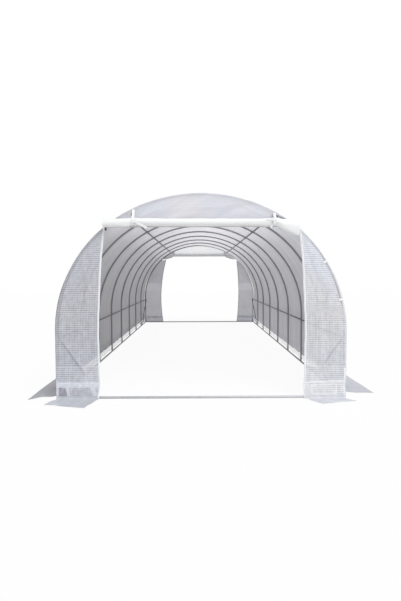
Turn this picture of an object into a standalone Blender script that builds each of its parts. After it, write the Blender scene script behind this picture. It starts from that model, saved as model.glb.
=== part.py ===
"""A walk-in polytunnel: nine steel hoops on a base frame, a translucent film cover with ground skirts, and a
roll-up door with zips at each end.

Frame: +X to the right as seen from the front door, +Y from the front door to the rear one, +Z up. The origin is on
the ground in the middle of the tunnel. Everything is in metres and shown with both doors rolled up.
"""

import math

import bmesh
import bpy
import numpy as np
from mathutils import Vector

# Frame sizes
HOOP_COUNT = 9
HOOP_PITCH = 1.0
HALF_SPAN = 1.4875  # tunnel axis to the leg's centre line
RIDGE_HEIGHT = 2.111  # the arch tube's centre line at the top
CROWN_RADIUS = 1.603
CROWN_HALF_ANGLE = math.radians(30)
LEG_TOP = 0.68
SIDE_RAIL_HEIGHT = 0.64
PURLIN_X = 0.76  # where the hoop that carries it has its centre line

# Tubes, as flat-to-flat sizes of their eight sides
TUBE_SIDES = 8
HOOP_TUBE_RADIUS = 0.0125
HOOP_BORE_RADIUS = 0.0114
SPIGOT_RADIUS = 0.0110
SPIGOT_BORE_RADIUS = 0.0100
SPIGOT_LENGTH = 0.06
SWAGE_LENGTH = 0.012  # how far the narrow bore runs on above the leg
RAIL_TUBE_RADIUS = 0.010
RAIL_BORE_RADIUS = 0.0088
BRACE_TUBE_RADIUS = 0.008
BRACE_BORE_RADIUS = 0.0068
BRACE_DROP = 0.035  # its top end below the side rail's centre line
BRACE_LIFT = 0.02  # its foot above the base rail
GAP = 0.0003  # between pieces that touch

# Arch facets
HAUNCH_STEPS = 5
CROWN_STEPS = 6

# Film
FILM = 0.002
COVER_OFFSET = HOOP_TUBE_RADIUS + 0.0004  # hoop centre line to the cover's inner face
PANEL_OFFSET = HOOP_TUBE_RADIUS - 0.001  # hoop centre line to the rim of the end panels
END_FACE = HOOP_TUBE_RADIUS + 0.0004  # end hoop's centre plane to the back of the end film
COVER_OVERHANG = END_FACE + FILM + 0.0006
COVER_BOTTOM = 0.20
GABLE_SWELL = 0.006
GABLE_CORNER = 0.012  # how far the gable's lower corners stay inside the rim
HEADER_INSET = 0.014  # from the zip to the side of the header band
RIM_GAP = 0.002

# End panels: columns from the zip to the hoop, row heights above the ground, and soft folds that stand out
PANEL_COLUMNS = 7
PANEL_HEIGHTS = (0.15, 0.40, 0.68, 0.88, 1.08, 1.26, 1.42, 1.56, 1.68)
FOLD_DEPTH = 0.009
FLAP_SHARES = (1.0, 0.55, 0.15)  # rows of the ground flap, as shares of its way out
FLAP_START = 0.02  # where the flap lies flat, out from the end film
FLAP_BEND = (0.012, 0.008, 50.0)  # distance out, height and tip of the row in the bend
PANEL_FOOT = 0.03  # where the upright film ends and the bend starts

# Skirts, from the wall outward: distance out, height, tip from upright towards flat in degrees, share of the wave
# there. Each end of each skirt has its own cuts: how far every row stops short of the end hoop.
WALL = HALF_SPAN + COVER_OFFSET + FILM / 2
SKIRT_REACH = 1.84  # tunnel axis to the skirt's outer edge
SKIRT_ROWS = [
    (0.0, COVER_BOTTOM - 2 * GAP, 0, 0.0),
    (0.005, 0.10, 4, 0.0),
    (0.014, 0.04, 20, 0.0),
    (0.032, 0.011, 50, 0.0),
    (0.07, FILM / 2, 90, 0.0),
    (0.17, FILM / 2, 90, 1.0),
    (SKIRT_REACH - WALL, FILM / 2, 90, 0.0),
]
SKIRT_CUTS = {
    "left": {
        "front": (0.0, 0.04, 0.09, 0.10, 0.09, 0.03, -0.045),
        "rear": (0.0, 0.02, 0.05, 0.07, 0.06, 0.01, -0.04),
    },
    "right": {
        "front": (0.0, 0.12, 0.22, 0.24, 0.23, 0.19, 0.175),
        "rear": (0.0, 0.02, 0.05, 0.07, 0.06, 0.01, -0.04),
    },
}
SKIRT_WAVE = 0.012
SKIRT_COLUMNS = 33
SKIRT_COLUMNS_PER_WAVE = 4

# Doors
ROLL_RADIUS = 0.0425
ROLL_BACK = 0.036  # end hoop's centre plane to the back of the rolled curtain
ROLL_CORNERS = 12
ROLL_STATIONS = 25
STRAP_WIDTH = 0.03
STRAP_THICKNESS = 0.0016
STRAP_SEAT = 0.036  # length of roll that a strap holds at one radius
STRAP_PINCH = 0.005
STRAP_PULL = 0.04
SLACK_DEPTH = 0.002
SLACK_WAVES = 7.0
STRAP_TOP_RADIUS = 0.0035
SLIDER_LENGTH = 0.062
SLIDER_WIDTH = 0.016
SLIDER_THICKNESS = 0.006
SLIDER_EDGE = 0.001
SLIDER_OUTLINE = [(0.7, 0.40), (1.0, 0.30), (1.0, 0.05), (0.45, -0.05), (0.40, -0.52), (0.20, -0.60)]  # right half
SLIDER_REST = 0.115  # below the zip's top
SLIDER_STOP = 0.085  # above the ground

HALF_LENGTH = HOOP_PITCH * (HOOP_COUNT - 1) / 2
HAUNCH_RADIUS = (HALF_SPAN - CROWN_RADIUS * math.sin(CROWN_HALF_ANGLE)) / (1 - math.sin(CROWN_HALF_ANGLE))
CROWN_CENTRE = RIDGE_HEIGHT - CROWN_RADIUS
HAUNCH_CENTRE = CROWN_CENTRE + (CROWN_RADIUS - HAUNCH_RADIUS) * math.cos(CROWN_HALF_ANGLE)
BASE_RAIL_TOP = 2 * HOOP_TUBE_RADIUS

# Each end as someone outside sees it, facing the door: "left" and "right" are that person's.
# A zip is three points (x, z) from the top down, and a flap is its inner and outer corner (x, distance out).
# Outside its straps a roll sinks by the sag at its tips, and its loose film hangs lower still by the droop.
ENDS = {
    "front": {
        "turn": 1,
        "header": (1.765, 1.7995),
        "roll": {"height": 1.821, "left": -0.992, "right": 1.000},
        "sag": {"left": 0.004, "right": 0.022},
        "droop": {"left": 0.002, "right": 0.072},
        "straps": {"left": (-0.684, 1.953), "right": (0.748, 1.915)},
        "left": {"zip": [(0.994, 1.775), (1.064, 0.76), (1.051, 0.03)], "flap": [(1.138, 0.354), (1.578, 0.225)]},
        "right": {"zip": [(1.021, 1.735), (1.083, 0.76), (1.067, 0.03)], "flap": [(1.212, 0.236), (1.592, 0.130)]},
    },
    "rear": {
        "turn": -1,
        "header": (1.815, 1.8495),
        "roll": {"height": 1.860, "left": -1.000, "right": 1.000},
        "sag": {"left": 0.01, "right": 0.01},
        "droop": {"left": 0.075, "right": 0.075},
        "straps": {"left": (-0.70, 1.94), "right": (0.70, 1.94)},
        "left": {"zip": [(1.034, 1.690), (1.092, 0.90), (1.043, 0.03)], "flap": [(1.190, 0.340), (1.580, 0.230)]},
        "right": {"zip": [(0.918, 1.715), (1.060, 0.72), (1.010, 0.03)], "flap": [(1.150, 0.354), (1.580, 0.230)]},
    },
}
SIDES = {"left": -1, "right": 1}


def clear_scene():
    for old in list(bpy.data.objects):
        bpy.data.objects.remove(old, do_unlink=True)


def make_finish(name, colour, roughness, metallic=0.0):
    material = bpy.data.materials.new(name)
    material.use_nodes = True
    shader = material.node_tree.nodes["Principled BSDF"]
    shader.inputs["Base Color"].default_value = (*colour, 1.0)
    shader.inputs["Roughness"].default_value = roughness
    shader.inputs["Metallic"].default_value = metallic
    return material


def make_finishes():
    return {
        "steel": make_finish("galvanised_steel", (0.36, 0.37, 0.39), 0.45, 0.85),
        "film": make_finish("reinforced_film", (0.74, 0.75, 0.79), 0.45),
        "curtain": make_finish("white_curtain_film", (0.88, 0.88, 0.88), 0.5),
        "webbing": make_finish("white_webbing", (0.82, 0.82, 0.82), 0.8),
        "zip": make_finish("white_zip_plastic", (0.80, 0.80, 0.80), 0.35),
    }


def add_node(name, points, faces, finish, origin=(0, 0, 0)):
    """One named object from world points, with its own origin and its faces turned outward."""
    origin = Vector(origin)
    mesh = bpy.data.meshes.new(name)
    mesh.from_pydata([Vector(p) - origin for p in points], [], faces)
    work = bmesh.new()
    work.from_mesh(mesh)
    bmesh.ops.recalc_face_normals(work, faces=work.faces)
    work.to_mesh(mesh)
    work.free()
    mesh.materials.append(finish)
    mesh.shade_smooth()
    mesh.set_sharp_from_angle(angle=math.radians(50))
    node = bpy.data.objects.new(name, mesh)
    node.location = origin
    bpy.context.scene.collection.objects.link(node)
    return node


# Closed shapes


def ring(centre, u, v, radius):
    """The corners of a regular section whose flats are at the radius, with a flat facing u."""
    corner = radius / math.cos(math.pi / TUBE_SIDES)
    turns = [(k + 0.5) * 2 * math.pi / TUBE_SIDES for k in range(TUBE_SIDES)]
    return [Vector(centre) + corner * (math.cos(a) * u + math.sin(a) * v) for a in turns]


def pipe(outside, inside):
    """Points and faces of a tube from its rings: down the outside and back up the inside."""
    rings = outside + inside[::-1]
    points = [p for r in rings for p in r]
    faces = []
    for i in range(len(rings)):
        here = i * TUBE_SIDES
        there = (i + 1) % len(rings) * TUBE_SIDES
        for k in range(TUBE_SIDES):
            beside = (k + 1) % TUBE_SIDES
            faces.append((here + k, here + beside, there + beside, there + k))
    return points, faces


def straight_tube(name, start, end, facing, radius, bore, finish):
    """An open tube between two points, with a flat turned towards facing."""
    start, end = Vector(start), Vector(end)
    along = (end - start).normalized()
    v = along.cross(Vector(facing)).normalized()
    u = v.cross(along)
    outside = [ring(p, u, v, radius) for p in (start, end)]
    inside = [ring(p, u, v, bore) for p in (start, end)]
    return add_node(name, *pipe(outside, inside), finish)


def sheet_between(front, back):
    """Points and faces of the closed sheet between two grids of points of the same shape.

    Both of its faces are split along the same diagonals, so that they stay apart where a cell is twisted.
    """
    rows, columns = front.shape[:2]
    points = [tuple(p) for p in np.concatenate([front.reshape(-1, 3), back.reshape(-1, 3)])]
    offset = rows * columns
    faces = []
    for r in range(rows - 1):
        for c in range(columns - 1):
            corner = r * columns + c
            opposite = corner + columns + 1
            for triangle in ((corner, corner + 1, opposite), (corner, opposite, corner + columns)):
                faces.append(triangle)
                faces.append(tuple(i + offset for i in reversed(triangle)))
    rim = list(range(columns))
    rim += [r * columns + columns - 1 for r in range(1, rows)]
    rim += [(rows - 1) * columns + c for c in range(columns - 2, -1, -1)]
    rim += [r * columns for r in range(rows - 2, 0, -1)]
    edge = [(a, b, b + offset, a + offset) for a, b in zip(rim, rim[1:] + rim[:1])]
    return points, faces + edge


def lofted(sections):
    """Points and faces of the closed solid through a row of sections with the same number of points."""
    count = len(sections[0])
    points = [tuple(p) for s in sections for p in s]
    faces = []
    for i in range(len(sections) - 1):
        for k in range(count):
            beside = (k + 1) % count
            faces.append((i * count + k, i * count + beside, (i + 1) * count + beside, (i + 1) * count + k))
    faces.append(tuple(range(count)))
    faces.append(tuple((len(sections) - 1) * count + k for k in range(count)))
    return points, faces


# The hoop's outline


def arch_stations():
    """The right half of the arch from the leg's top to the ridge, as (x, z, angle of the normal above +X)."""
    stations = [(HALF_SPAN, LEG_TOP, 0.0)]
    haunch_angle = math.pi / 2 - CROWN_HALF_ANGLE
    for k in range(HAUNCH_STEPS + 1):
        a = haunch_angle * k / HAUNCH_STEPS
        x = HALF_SPAN - HAUNCH_RADIUS + HAUNCH_RADIUS * math.cos(a)
        stations.append((x, HAUNCH_CENTRE + HAUNCH_RADIUS * math.sin(a), a))
    for k in range(1, CROWN_STEPS // 2 + 1):
        a = haunch_angle + CROWN_HALF_ANGLE * k / (CROWN_STEPS / 2)
        stations.append((CROWN_RADIUS * math.cos(a), CROWN_CENTRE + CROWN_RADIUS * math.sin(a), a))
    return stations


def whole_arch():
    """arch_stations from the right leg over the ridge to the left leg."""
    right = arch_stations()
    return right + [(-x, z, math.pi - a) for x, z, a in right[-2::-1]]


def arch_outline(offset):
    """Half widths and heights of the outline at this distance outside the centre line, from the ground up."""
    half = [(HALF_SPAN + offset, 0.0)]
    half += [(x + offset * math.cos(a), z + offset * math.sin(a)) for x, z, a in arch_stations()]
    return np.array(half)


def half_width(height, offset):
    outline = arch_outline(offset)
    return float(np.interp(height, outline[:, 1], outline[:, 0]))


def roof_height(x, offset):
    outline = arch_outline(offset)[::-1]
    return float(np.interp(abs(x), outline[:, 0], outline[:, 1]))


# Steel frame


def make_arch(number, y, steel):
    """One arch tube. Its ends are swaged down to spigots that plug into the legs."""
    path = whole_arch()
    across = Vector((0, 1, 0))

    def station(x, z, angle, radius):
        return ring((x, y, z), Vector((math.cos(angle), 0, math.sin(angle))), across, radius)

    outside, inside = [], []
    for side, angle in ((1, 0.0), (-1, math.pi)):
        x = side * HALF_SPAN
        mouth = [
            station(x, LEG_TOP - SPIGOT_LENGTH, angle, SPIGOT_RADIUS),
            station(x, LEG_TOP + GAP, angle, SPIGOT_RADIUS),
            station(x, LEG_TOP + GAP, angle, HOOP_TUBE_RADIUS),
        ]
        bore = [
            station(x, LEG_TOP - SPIGOT_LENGTH, angle, SPIGOT_BORE_RADIUS),
            station(x, LEG_TOP + SWAGE_LENGTH, angle, SPIGOT_BORE_RADIUS),
            station(x, LEG_TOP + SWAGE_LENGTH, angle, HOOP_BORE_RADIUS),
        ]
        if side == 1:
            outside += mouth
            inside += bore
            outside += [station(*p, HOOP_TUBE_RADIUS) for p in path[1:-1]]
            inside += [station(*p, HOOP_BORE_RADIUS) for p in path[1:-1]]
        else:
            outside += mouth[::-1]
            inside += bore[::-1]
    return add_node(f"arch_{number}", *pipe(outside, inside), steel, origin=(0, y, LEG_TOP))


def make_hoops(steel):
    for k in range(HOOP_COUNT):
        y = -HALF_LENGTH + k * HOOP_PITCH
        make_arch(k + 1, y, steel)
        for name, side in SIDES.items():
            foot = (side * HALF_SPAN, y, BASE_RAIL_TOP + GAP)
            top = (side * HALF_SPAN, y, LEG_TOP)
            straight_tube(f"leg_{name}_{k + 1}", foot, top, (1, 0, 0), HOOP_TUBE_RADIUS, HOOP_BORE_RADIUS, steel)


def make_rails(steel):
    """Base rails under the legs, side rails and purlins inside the hoops, and a ground bar across each end."""
    rail_end = HALF_LENGTH + HOOP_TUBE_RADIUS
    inside = HOOP_TUBE_RADIUS + GAP + RAIL_TUBE_RADIUS
    slope = math.acos(PURLIN_X / CROWN_RADIUS)
    purlin_height = roof_height(PURLIN_X, 0)
    for name, side in SIDES.items():
        base = (side * HALF_SPAN, HOOP_TUBE_RADIUS)
        rail = (side * (HALF_SPAN - inside), SIDE_RAIL_HEIGHT)
        purlin = (side * (PURLIN_X - inside * math.cos(slope)), purlin_height - inside * math.sin(slope))
        lines = {
            f"base_rail_{name}": (base, (1, 0, 0), HOOP_TUBE_RADIUS, HOOP_BORE_RADIUS),
            f"side_rail_{name}": (rail, (1, 0, 0), RAIL_TUBE_RADIUS, RAIL_BORE_RADIUS),
            f"purlin_{name}": (purlin, (side * math.cos(slope), 0, math.sin(slope)), RAIL_TUBE_RADIUS,
                               RAIL_BORE_RADIUS),
        }
        for node, ((x, z), facing, radius, bore) in lines.items():
            straight_tube(node, (x, -rail_end, z), (x, rail_end, z), facing, radius, bore, steel)
    half = HALF_SPAN - HOOP_TUBE_RADIUS - GAP
    for name, end in ENDS.items():
        y = -end["turn"] * HALF_LENGTH
        z = HOOP_TUBE_RADIUS
        straight_tube(f"ground_bar_{name}", (-half, y, z), (half, y, z), (0, 0, 1), HOOP_TUBE_RADIUS,
                      HOOP_BORE_RADIUS, steel)


def make_braces(steel):
    """Diagonals inside the side walls, from the top of each end leg to the foot of the next one."""
    x = HALF_SPAN - HOOP_TUBE_RADIUS - BRACE_TUBE_RADIUS - 2 * GAP
    top, foot = SIDE_RAIL_HEIGHT - BRACE_DROP, BASE_RAIL_TOP + BRACE_LIFT
    for end_name, end in ENDS.items():
        for name, side in SIDES.items():
            y = -end["turn"] * HALF_LENGTH
            start = (side * x, y, top)
            finish_at = (side * x, y + end["turn"] * HOOP_PITCH, foot)
            straight_tube(f"corner_brace_{end_name}_{name}", start, finish_at, (1, 0, 0), BRACE_TUBE_RADIUS,
                          BRACE_BORE_RADIUS, steel)


# Film


def make_cover(film):
    """One sheet over all hoops: flat facets between them, down both walls to where the skirts start."""
    path = [(HALF_SPAN, COVER_BOTTOM, 0.0), *whole_arch(), (-HALF_SPAN, COVER_BOTTOM, math.pi)]
    ys = [-HALF_LENGTH + k * HOOP_PITCH for k in range(HOOP_COUNT)]
    ys[0] -= COVER_OVERHANG
    ys[-1] += COVER_OVERHANG

    def face(offset):
        return np.array([[(x + offset * math.cos(a), y, z + offset * math.sin(a)) for x, z, a in path] for y in ys])

    return add_node("cover_sheet", *sheet_between(face(COVER_OFFSET + FILM), face(COVER_OFFSET)), film)


def make_skirt(name, side, film):
    """The apron below one wall: it leaves the cover, bends out and lies on the ground in shallow waves."""
    outer, inner = [], []
    cuts = SKIRT_CUTS[name]
    for (out, height, tip, wave_share), front_cut, rear_cut in zip(SKIRT_ROWS, cuts["front"], cuts["rear"]):
        tip = math.radians(tip)
        normal = (side * math.cos(tip), 0.0, math.sin(tip))
        front, rear = -HALF_LENGTH + front_cut, HALF_LENGTH - rear_cut
        for sheet, offset in ((outer, FILM / 2), (inner, -FILM / 2)):
            line = []
            for k in range(SKIRT_COLUMNS):
                wave = 0.5 - 0.5 * math.cos(2 * math.pi * k / SKIRT_COLUMNS_PER_WAVE)
                lift = SKIRT_WAVE * wave_share * wave
                y = front + (rear - front) * k / (SKIRT_COLUMNS - 1)
                line.append((side * (WALL + out) + normal[0] * offset, y, height + lift + normal[2] * offset))
            sheet.append(line)
    return add_node(f"skirt_{name}", *sheet_between(np.array(outer), np.array(inner)), film)


def placed(turn, points):
    """Turns points given as (x, distance out of the end hoop's plane, z) to the front or the rear end."""
    points = np.asarray(points, float)
    out = np.empty_like(points)
    out[..., 0] = turn * points[..., 0]
    out[..., 1] = -turn * (HALF_LENGTH + points[..., 1])
    out[..., 2] = points[..., 2]
    return out


def side_in_frame(side_name, turn):
    """A side named from outside one end, as named in the shared frame, where left is -X."""
    if turn == 1:
        return side_name
    return "right" if side_name == "left" else "left"


def zip_x(zip_points, height):
    """The zip's x at a height, on the parabola through its three points."""
    xs, zs = zip(*zip_points)
    return float(np.polyval(np.polyfit(zs, xs, 2), height))


def make_side_panel(name, end, side_name, film):
    """The film from the zip out to the hoop, and its flap on the ground outside."""
    spec = end[side_name]
    side = SIDES[side_name]
    top = spec["zip"][0][1]
    (in_x, in_out), (out_x, out_out) = spec["flap"]
    mid = END_FACE + FILM / 2
    bend_out, bend_height, bend_tip = FLAP_BEND
    # rows as (distance out, height, tip from upright towards flat, share of the way out along the flap)
    rows = [(mid + FLAP_START, FILM / 2, 90.0, share) for share in FLAP_SHARES]
    rows += [(mid + bend_out, bend_height, bend_tip, 0.0), (mid, PANEL_FOOT, 0.0, 0.0)]
    rows += [(mid, z, 0.0, 0.0) for z in (*PANEL_HEIGHTS, top) if z <= top]
    front, back = [], []
    for out, height, tip, reach in rows:
        tip = math.radians(tip)
        inner_x = zip_x(spec["zip"], max(height, PANEL_FOOT))
        outer_x = half_width(height, PANEL_OFFSET)
        fade = min(1.0, max(0.0, (height - 0.1) / 0.4)) * min(1.0, (top - height) / 0.5)
        lines = ([], [])
        for k in range(PANEL_COLUMNS):
            u = k / (PANEL_COLUMNS - 1)
            x = inner_x + (outer_x - inner_x) * u
            fold = FOLD_DEPTH * fade * math.sin(math.pi * u) * (0.6 + 0.4 * math.cos(3 * math.pi * u))
            distance = out + fold
            if reach:
                x += (in_x + (out_x - in_x) * u - x) * reach
                distance += (in_out + (out_out - in_out) * u - distance) * reach
            for line, offset in zip(lines, (FILM / 2, -FILM / 2)):
                line.append((side * x, distance + math.cos(tip) * offset, height + math.sin(tip) * offset))
        front.append(lines[0])
        back.append(lines[1])
    turn = end["turn"]
    shape = sheet_between(placed(turn, front), placed(turn, back))
    return add_node(f"{name}_panel_{side_in_frame(side_name, turn)}", *shape, film)


def make_gable(name, end, film):
    """The half moon over the door, from the header up to the arch."""
    bottom = end["header"][1] + 2 * GAP
    reach = half_width(bottom, PANEL_OFFSET) - GABLE_CORNER
    columns, rows = 17, 4
    front, back = [], []
    for r in range(rows):
        share = r / (rows - 1)
        lines = ([], [])
        for k in range(columns):
            x = -reach + 2 * reach * k / (columns - 1)
            z = bottom + (roof_height(x, PANEL_OFFSET) - bottom) * share
            swell = GABLE_SWELL * math.sin(math.pi * share) * math.sin(math.pi * k / (columns - 1))
            lines[0].append((x, END_FACE + FILM + swell, z))
            lines[1].append((x, END_FACE + swell, z))
        front.append(lines[0])
        back.append(lines[1])
    shape = sheet_between(placed(end["turn"], front), placed(end["turn"], back))
    return add_node(f"{name}_gable", *shape, film)


def make_header(name, end, film):
    """The band of curtain that shows between the gable and the roll, and grows as the door comes down."""
    bottom, top = end["header"]
    columns = 9
    front, back = [], []
    for z in (bottom, top):
        rim = half_width(z, PANEL_OFFSET) - RIM_GAP
        left = -min(zip_x(end["left"]["zip"], z) - HEADER_INSET, rim)
        right = min(zip_x(end["right"]["zip"], z) - HEADER_INSET, rim)
        xs = [left + (right - left) * k / (columns - 1) for k in range(columns)]
        front.append([(x, END_FACE + FILM, z) for x in xs])
        back.append([(x, END_FACE, z) for x in xs])
    shape = sheet_between(placed(end["turn"], front), placed(end["turn"], back))
    return add_node(f"{name}_door_header", *shape, film)


# Doors


def roll_radius(x, end):
    """The roll is drawn in where the straps hold it and slack near its ends."""
    radius = ROLL_RADIUS - SLACK_DEPTH * (0.5 - 0.5 * math.cos(SLACK_WAVES * x))
    for strap_x, _ in end["straps"].values():
        beside = max(0.0, abs(x - strap_x) - STRAP_SEAT / 2)
        held = math.exp(-((beside / STRAP_PULL) ** 2))
        radius += (ROLL_RADIUS - STRAP_PINCH - radius) * held
    return radius


def past_strap(x, end, amounts):
    """Grows from nothing where a strap holds the roll to that side's amount at the roll's tip."""
    for side_name, side in SIDES.items():
        strap_x, _ = end["straps"][side_name]
        beyond = side * (x - strap_x) - STRAP_SEAT / 2
        if beyond > 0:
            share = beyond / abs(end["roll"][side_name] - strap_x)
            return amounts[side_name] * math.sin(share * math.pi / 2) ** 0.7
    return 0.0


def make_roll(name, end, film):
    """The rolled-up curtain, held outside the end film by its two straps."""
    spec = end["roll"]
    centre = ROLL_BACK + ROLL_RADIUS
    seats = [x + across * STRAP_SEAT / 2 for x, _ in end["straps"].values() for across in (-1, 1)]
    width = spec["right"] - spec["left"]
    xs = [spec["left"] + width * k / (ROLL_STATIONS - 1) for k in range(ROLL_STATIONS)]
    xs = sorted([x for x in xs if all(abs(x - s) > STRAP_SEAT for s in seats)] + seats)
    sections = []
    for x in xs:
        radius = roll_radius(x, end)
        height = spec["height"] - past_strap(x, end, end["sag"])
        droop = past_strap(x, end, end["droop"])
        section = []
        for k in range(ROLL_CORNERS):
            a = 2 * math.pi * (k + 0.5) / ROLL_CORNERS
            below = max(0.0, -math.sin(a))
            narrow = 1 - min(0.6, 6 * droop) * below**2
            distance = centre + radius * math.cos(a) * narrow
            section.append((x, distance, height + radius * math.sin(a) - droop * below**1.5))
        sections.append(section)
    points, faces = lofted(placed(end["turn"], sections))
    origin = placed(end["turn"], (0.0, centre, spec["height"]))
    return add_node(f"{name}_door_roll", points, faces, film, origin=origin)


def belt_outline(low, low_radius, high, high_radius, corners):
    """The outline of a belt pulled round two circles, as (distance out, height)."""
    span = Vector((high[0] - low[0], high[1] - low[1]))
    lean = math.atan2(span.y, span.x)
    wrap = math.acos((low_radius - high_radius) / span.length)
    outline = []
    for k in range(corners + 1):
        a = lean + wrap + (2 * math.pi - 2 * wrap) * k / corners
        outline.append((low[0] + low_radius * math.cos(a), low[1] + low_radius * math.sin(a)))
    for k in range(5):
        a = lean - wrap + 2 * wrap * k / 4
        outline.append((high[0] + high_radius * math.cos(a), high[1] + high_radius * math.sin(a)))
    return outline


def make_strap(name, end, side_name, webbing):
    """A tie strap: one loop from the top of the gable round the roll."""
    x, top = end["straps"][side_name]
    radius = roll_radius(x, end) / math.cos(math.pi / ROLL_CORNERS) + 2 * GAP
    low = (ROLL_BACK + ROLL_RADIUS, end["roll"]["height"])
    high = (END_FACE + FILM + GABLE_SWELL + STRAP_TOP_RADIUS + STRAP_THICKNESS, top)
    inner = belt_outline(low, radius, high, STRAP_TOP_RADIUS, ROLL_CORNERS)
    outer = belt_outline(low, radius + STRAP_THICKNESS, high, STRAP_TOP_RADIUS + STRAP_THICKNESS, ROLL_CORNERS)
    count = len(inner)
    loops = []
    for outline, across in ((outer, -1), (outer, 1), (inner, 1), (inner, -1)):
        loops.append([(x + across * STRAP_WIDTH / 2, distance, z) for distance, z in outline])
    points = [tuple(p) for p in placed(end["turn"], loops).reshape(-1, 3)]
    faces = []
    for i in range(4):
        here, there = i * count, (i + 1) % 4 * count
        for k in range(count):
            beside = (k + 1) % count
            faces.append((here + k, here + beside, there + beside, there + k))
    return add_node(f"{name}_strap_{side_in_frame(side_name, end['turn'])}", points, faces, webbing)


def slider_path(end, side_name):
    """Where the slider is at the top and at the bottom of its zip, as (x, distance out, z)."""
    spec = end[side_name]
    side = SIDES[side_name]
    distance = END_FACE + FILM + 3 * GAP + SLIDER_THICKNESS / 2
    high = spec["zip"][0][1] - SLIDER_REST
    return [(side * zip_x(spec["zip"], z), distance, z) for z in (high, SLIDER_STOP)]


def make_slider(name, end, side_name, plastic):
    """The zip slider and its pull: a shield that narrows into a tab, lying on the end film."""
    outline = [(SLIDER_WIDTH / 2 * x, SLIDER_LENGTH * z) for x, z in SLIDER_OUTLINE]
    outline += [(-x, z) for x, z in reversed(outline)]
    (x, distance, z), _ = slider_path(end, side_name)
    depths = [-SLIDER_THICKNESS / 2, SLIDER_THICKNESS / 2]
    sections = [[(x + dx, distance + depth, z + dz) for dx, dz in outline] for depth in depths]
    points, faces = lofted(placed(end["turn"], sections))
    origin = placed(end["turn"], (x, distance, z))
    node_name = f"{name}_zip_slider_{side_in_frame(side_name, end['turn'])}"
    slider = add_node(node_name, points, faces, plastic, origin=origin)
    soften = slider.modifiers.new("soft_edges", "BEVEL")
    soften.width = SLIDER_EDGE
    soften.segments = 1
    soften.limit_method = "ANGLE"
    return slider


def main():
    clear_scene()
    finishes = make_finishes()
    make_hoops(finishes["steel"])
    make_rails(finishes["steel"])
    make_braces(finishes["steel"])
    make_cover(finishes["film"])
    for side_name, side in SIDES.items():
        make_skirt(side_name, side, finishes["film"])
    for name, end in ENDS.items():
        make_gable(name, end, finishes["film"])
        make_header(name, end, finishes["curtain"])
        make_roll(name, end, finishes["curtain"])
        for side_name in SIDES:
            make_side_panel(name, end, side_name, finishes["film"])
            make_strap(name, end, side_name, finishes["webbing"])
            make_slider(name, end, side_name, finishes["zip"])
    bpy.context.view_layer.update()
    print(len(bpy.data.objects), "pieces")
    for name, end in ENDS.items():
        for side_name in SIDES:
            high, low = placed(end["turn"], slider_path(end, side_name))
            travel = low - high
            length = float(np.linalg.norm(travel))
            print(name, side_name, "slider at", high.round(4), "runs", (travel / length).round(5), round(length, 4))


main()
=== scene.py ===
import math

import bmesh
import bpy
import numpy as np
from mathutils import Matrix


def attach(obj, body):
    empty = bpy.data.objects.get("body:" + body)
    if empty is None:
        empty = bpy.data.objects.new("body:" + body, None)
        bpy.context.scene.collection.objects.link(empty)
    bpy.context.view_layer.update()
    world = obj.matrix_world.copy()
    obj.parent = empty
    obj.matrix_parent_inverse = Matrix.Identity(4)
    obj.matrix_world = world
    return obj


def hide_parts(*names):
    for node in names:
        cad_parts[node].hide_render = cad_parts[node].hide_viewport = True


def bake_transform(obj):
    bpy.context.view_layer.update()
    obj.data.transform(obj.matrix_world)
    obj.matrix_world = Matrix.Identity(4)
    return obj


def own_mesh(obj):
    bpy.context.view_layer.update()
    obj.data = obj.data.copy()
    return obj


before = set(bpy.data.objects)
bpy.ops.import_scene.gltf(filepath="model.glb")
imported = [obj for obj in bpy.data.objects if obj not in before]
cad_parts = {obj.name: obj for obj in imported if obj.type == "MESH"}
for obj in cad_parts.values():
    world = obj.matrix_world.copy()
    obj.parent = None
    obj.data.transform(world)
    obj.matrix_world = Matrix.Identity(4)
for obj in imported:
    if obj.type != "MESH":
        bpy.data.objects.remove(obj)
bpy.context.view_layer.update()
print("frame loaded")

# The tunnel's cross section: a flat arc over the crown, a tighter arc over each haunch, straight legs.
hoop = dict(halfSpan=1.4875, ridge=2.111, crownRadius=1.603, crownLean=math.radians(30), tube=0.0125,
            count=9, pitch=1.0, legTop=0.68, wallFoot=0.20)
hoop["haunchRadius"] = (hoop["halfSpan"] - hoop["crownRadius"] / 2) / 0.5  # the sine of 30 degrees is a half
hoop["crownCentre"] = hoop["ridge"] - hoop["crownRadius"]
radiusGap = hoop["crownRadius"] - hoop["haunchRadius"]
hoop["haunchCentre"] = hoop["crownCentre"] + radiusGap * math.cos(hoop["crownLean"])
hoop["crownLength"] = hoop["crownRadius"] * hoop["crownLean"]
hoop["curveLength"] = hoop["crownLength"] + hoop["haunchRadius"] * (math.pi / 2 - hoop["crownLean"])
halfLength = hoop["pitch"] * (hoop["count"] - 1) / 2
hoopPlaces = -halfLength + hoop["pitch"] * np.arange(hoop["count"])

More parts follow.
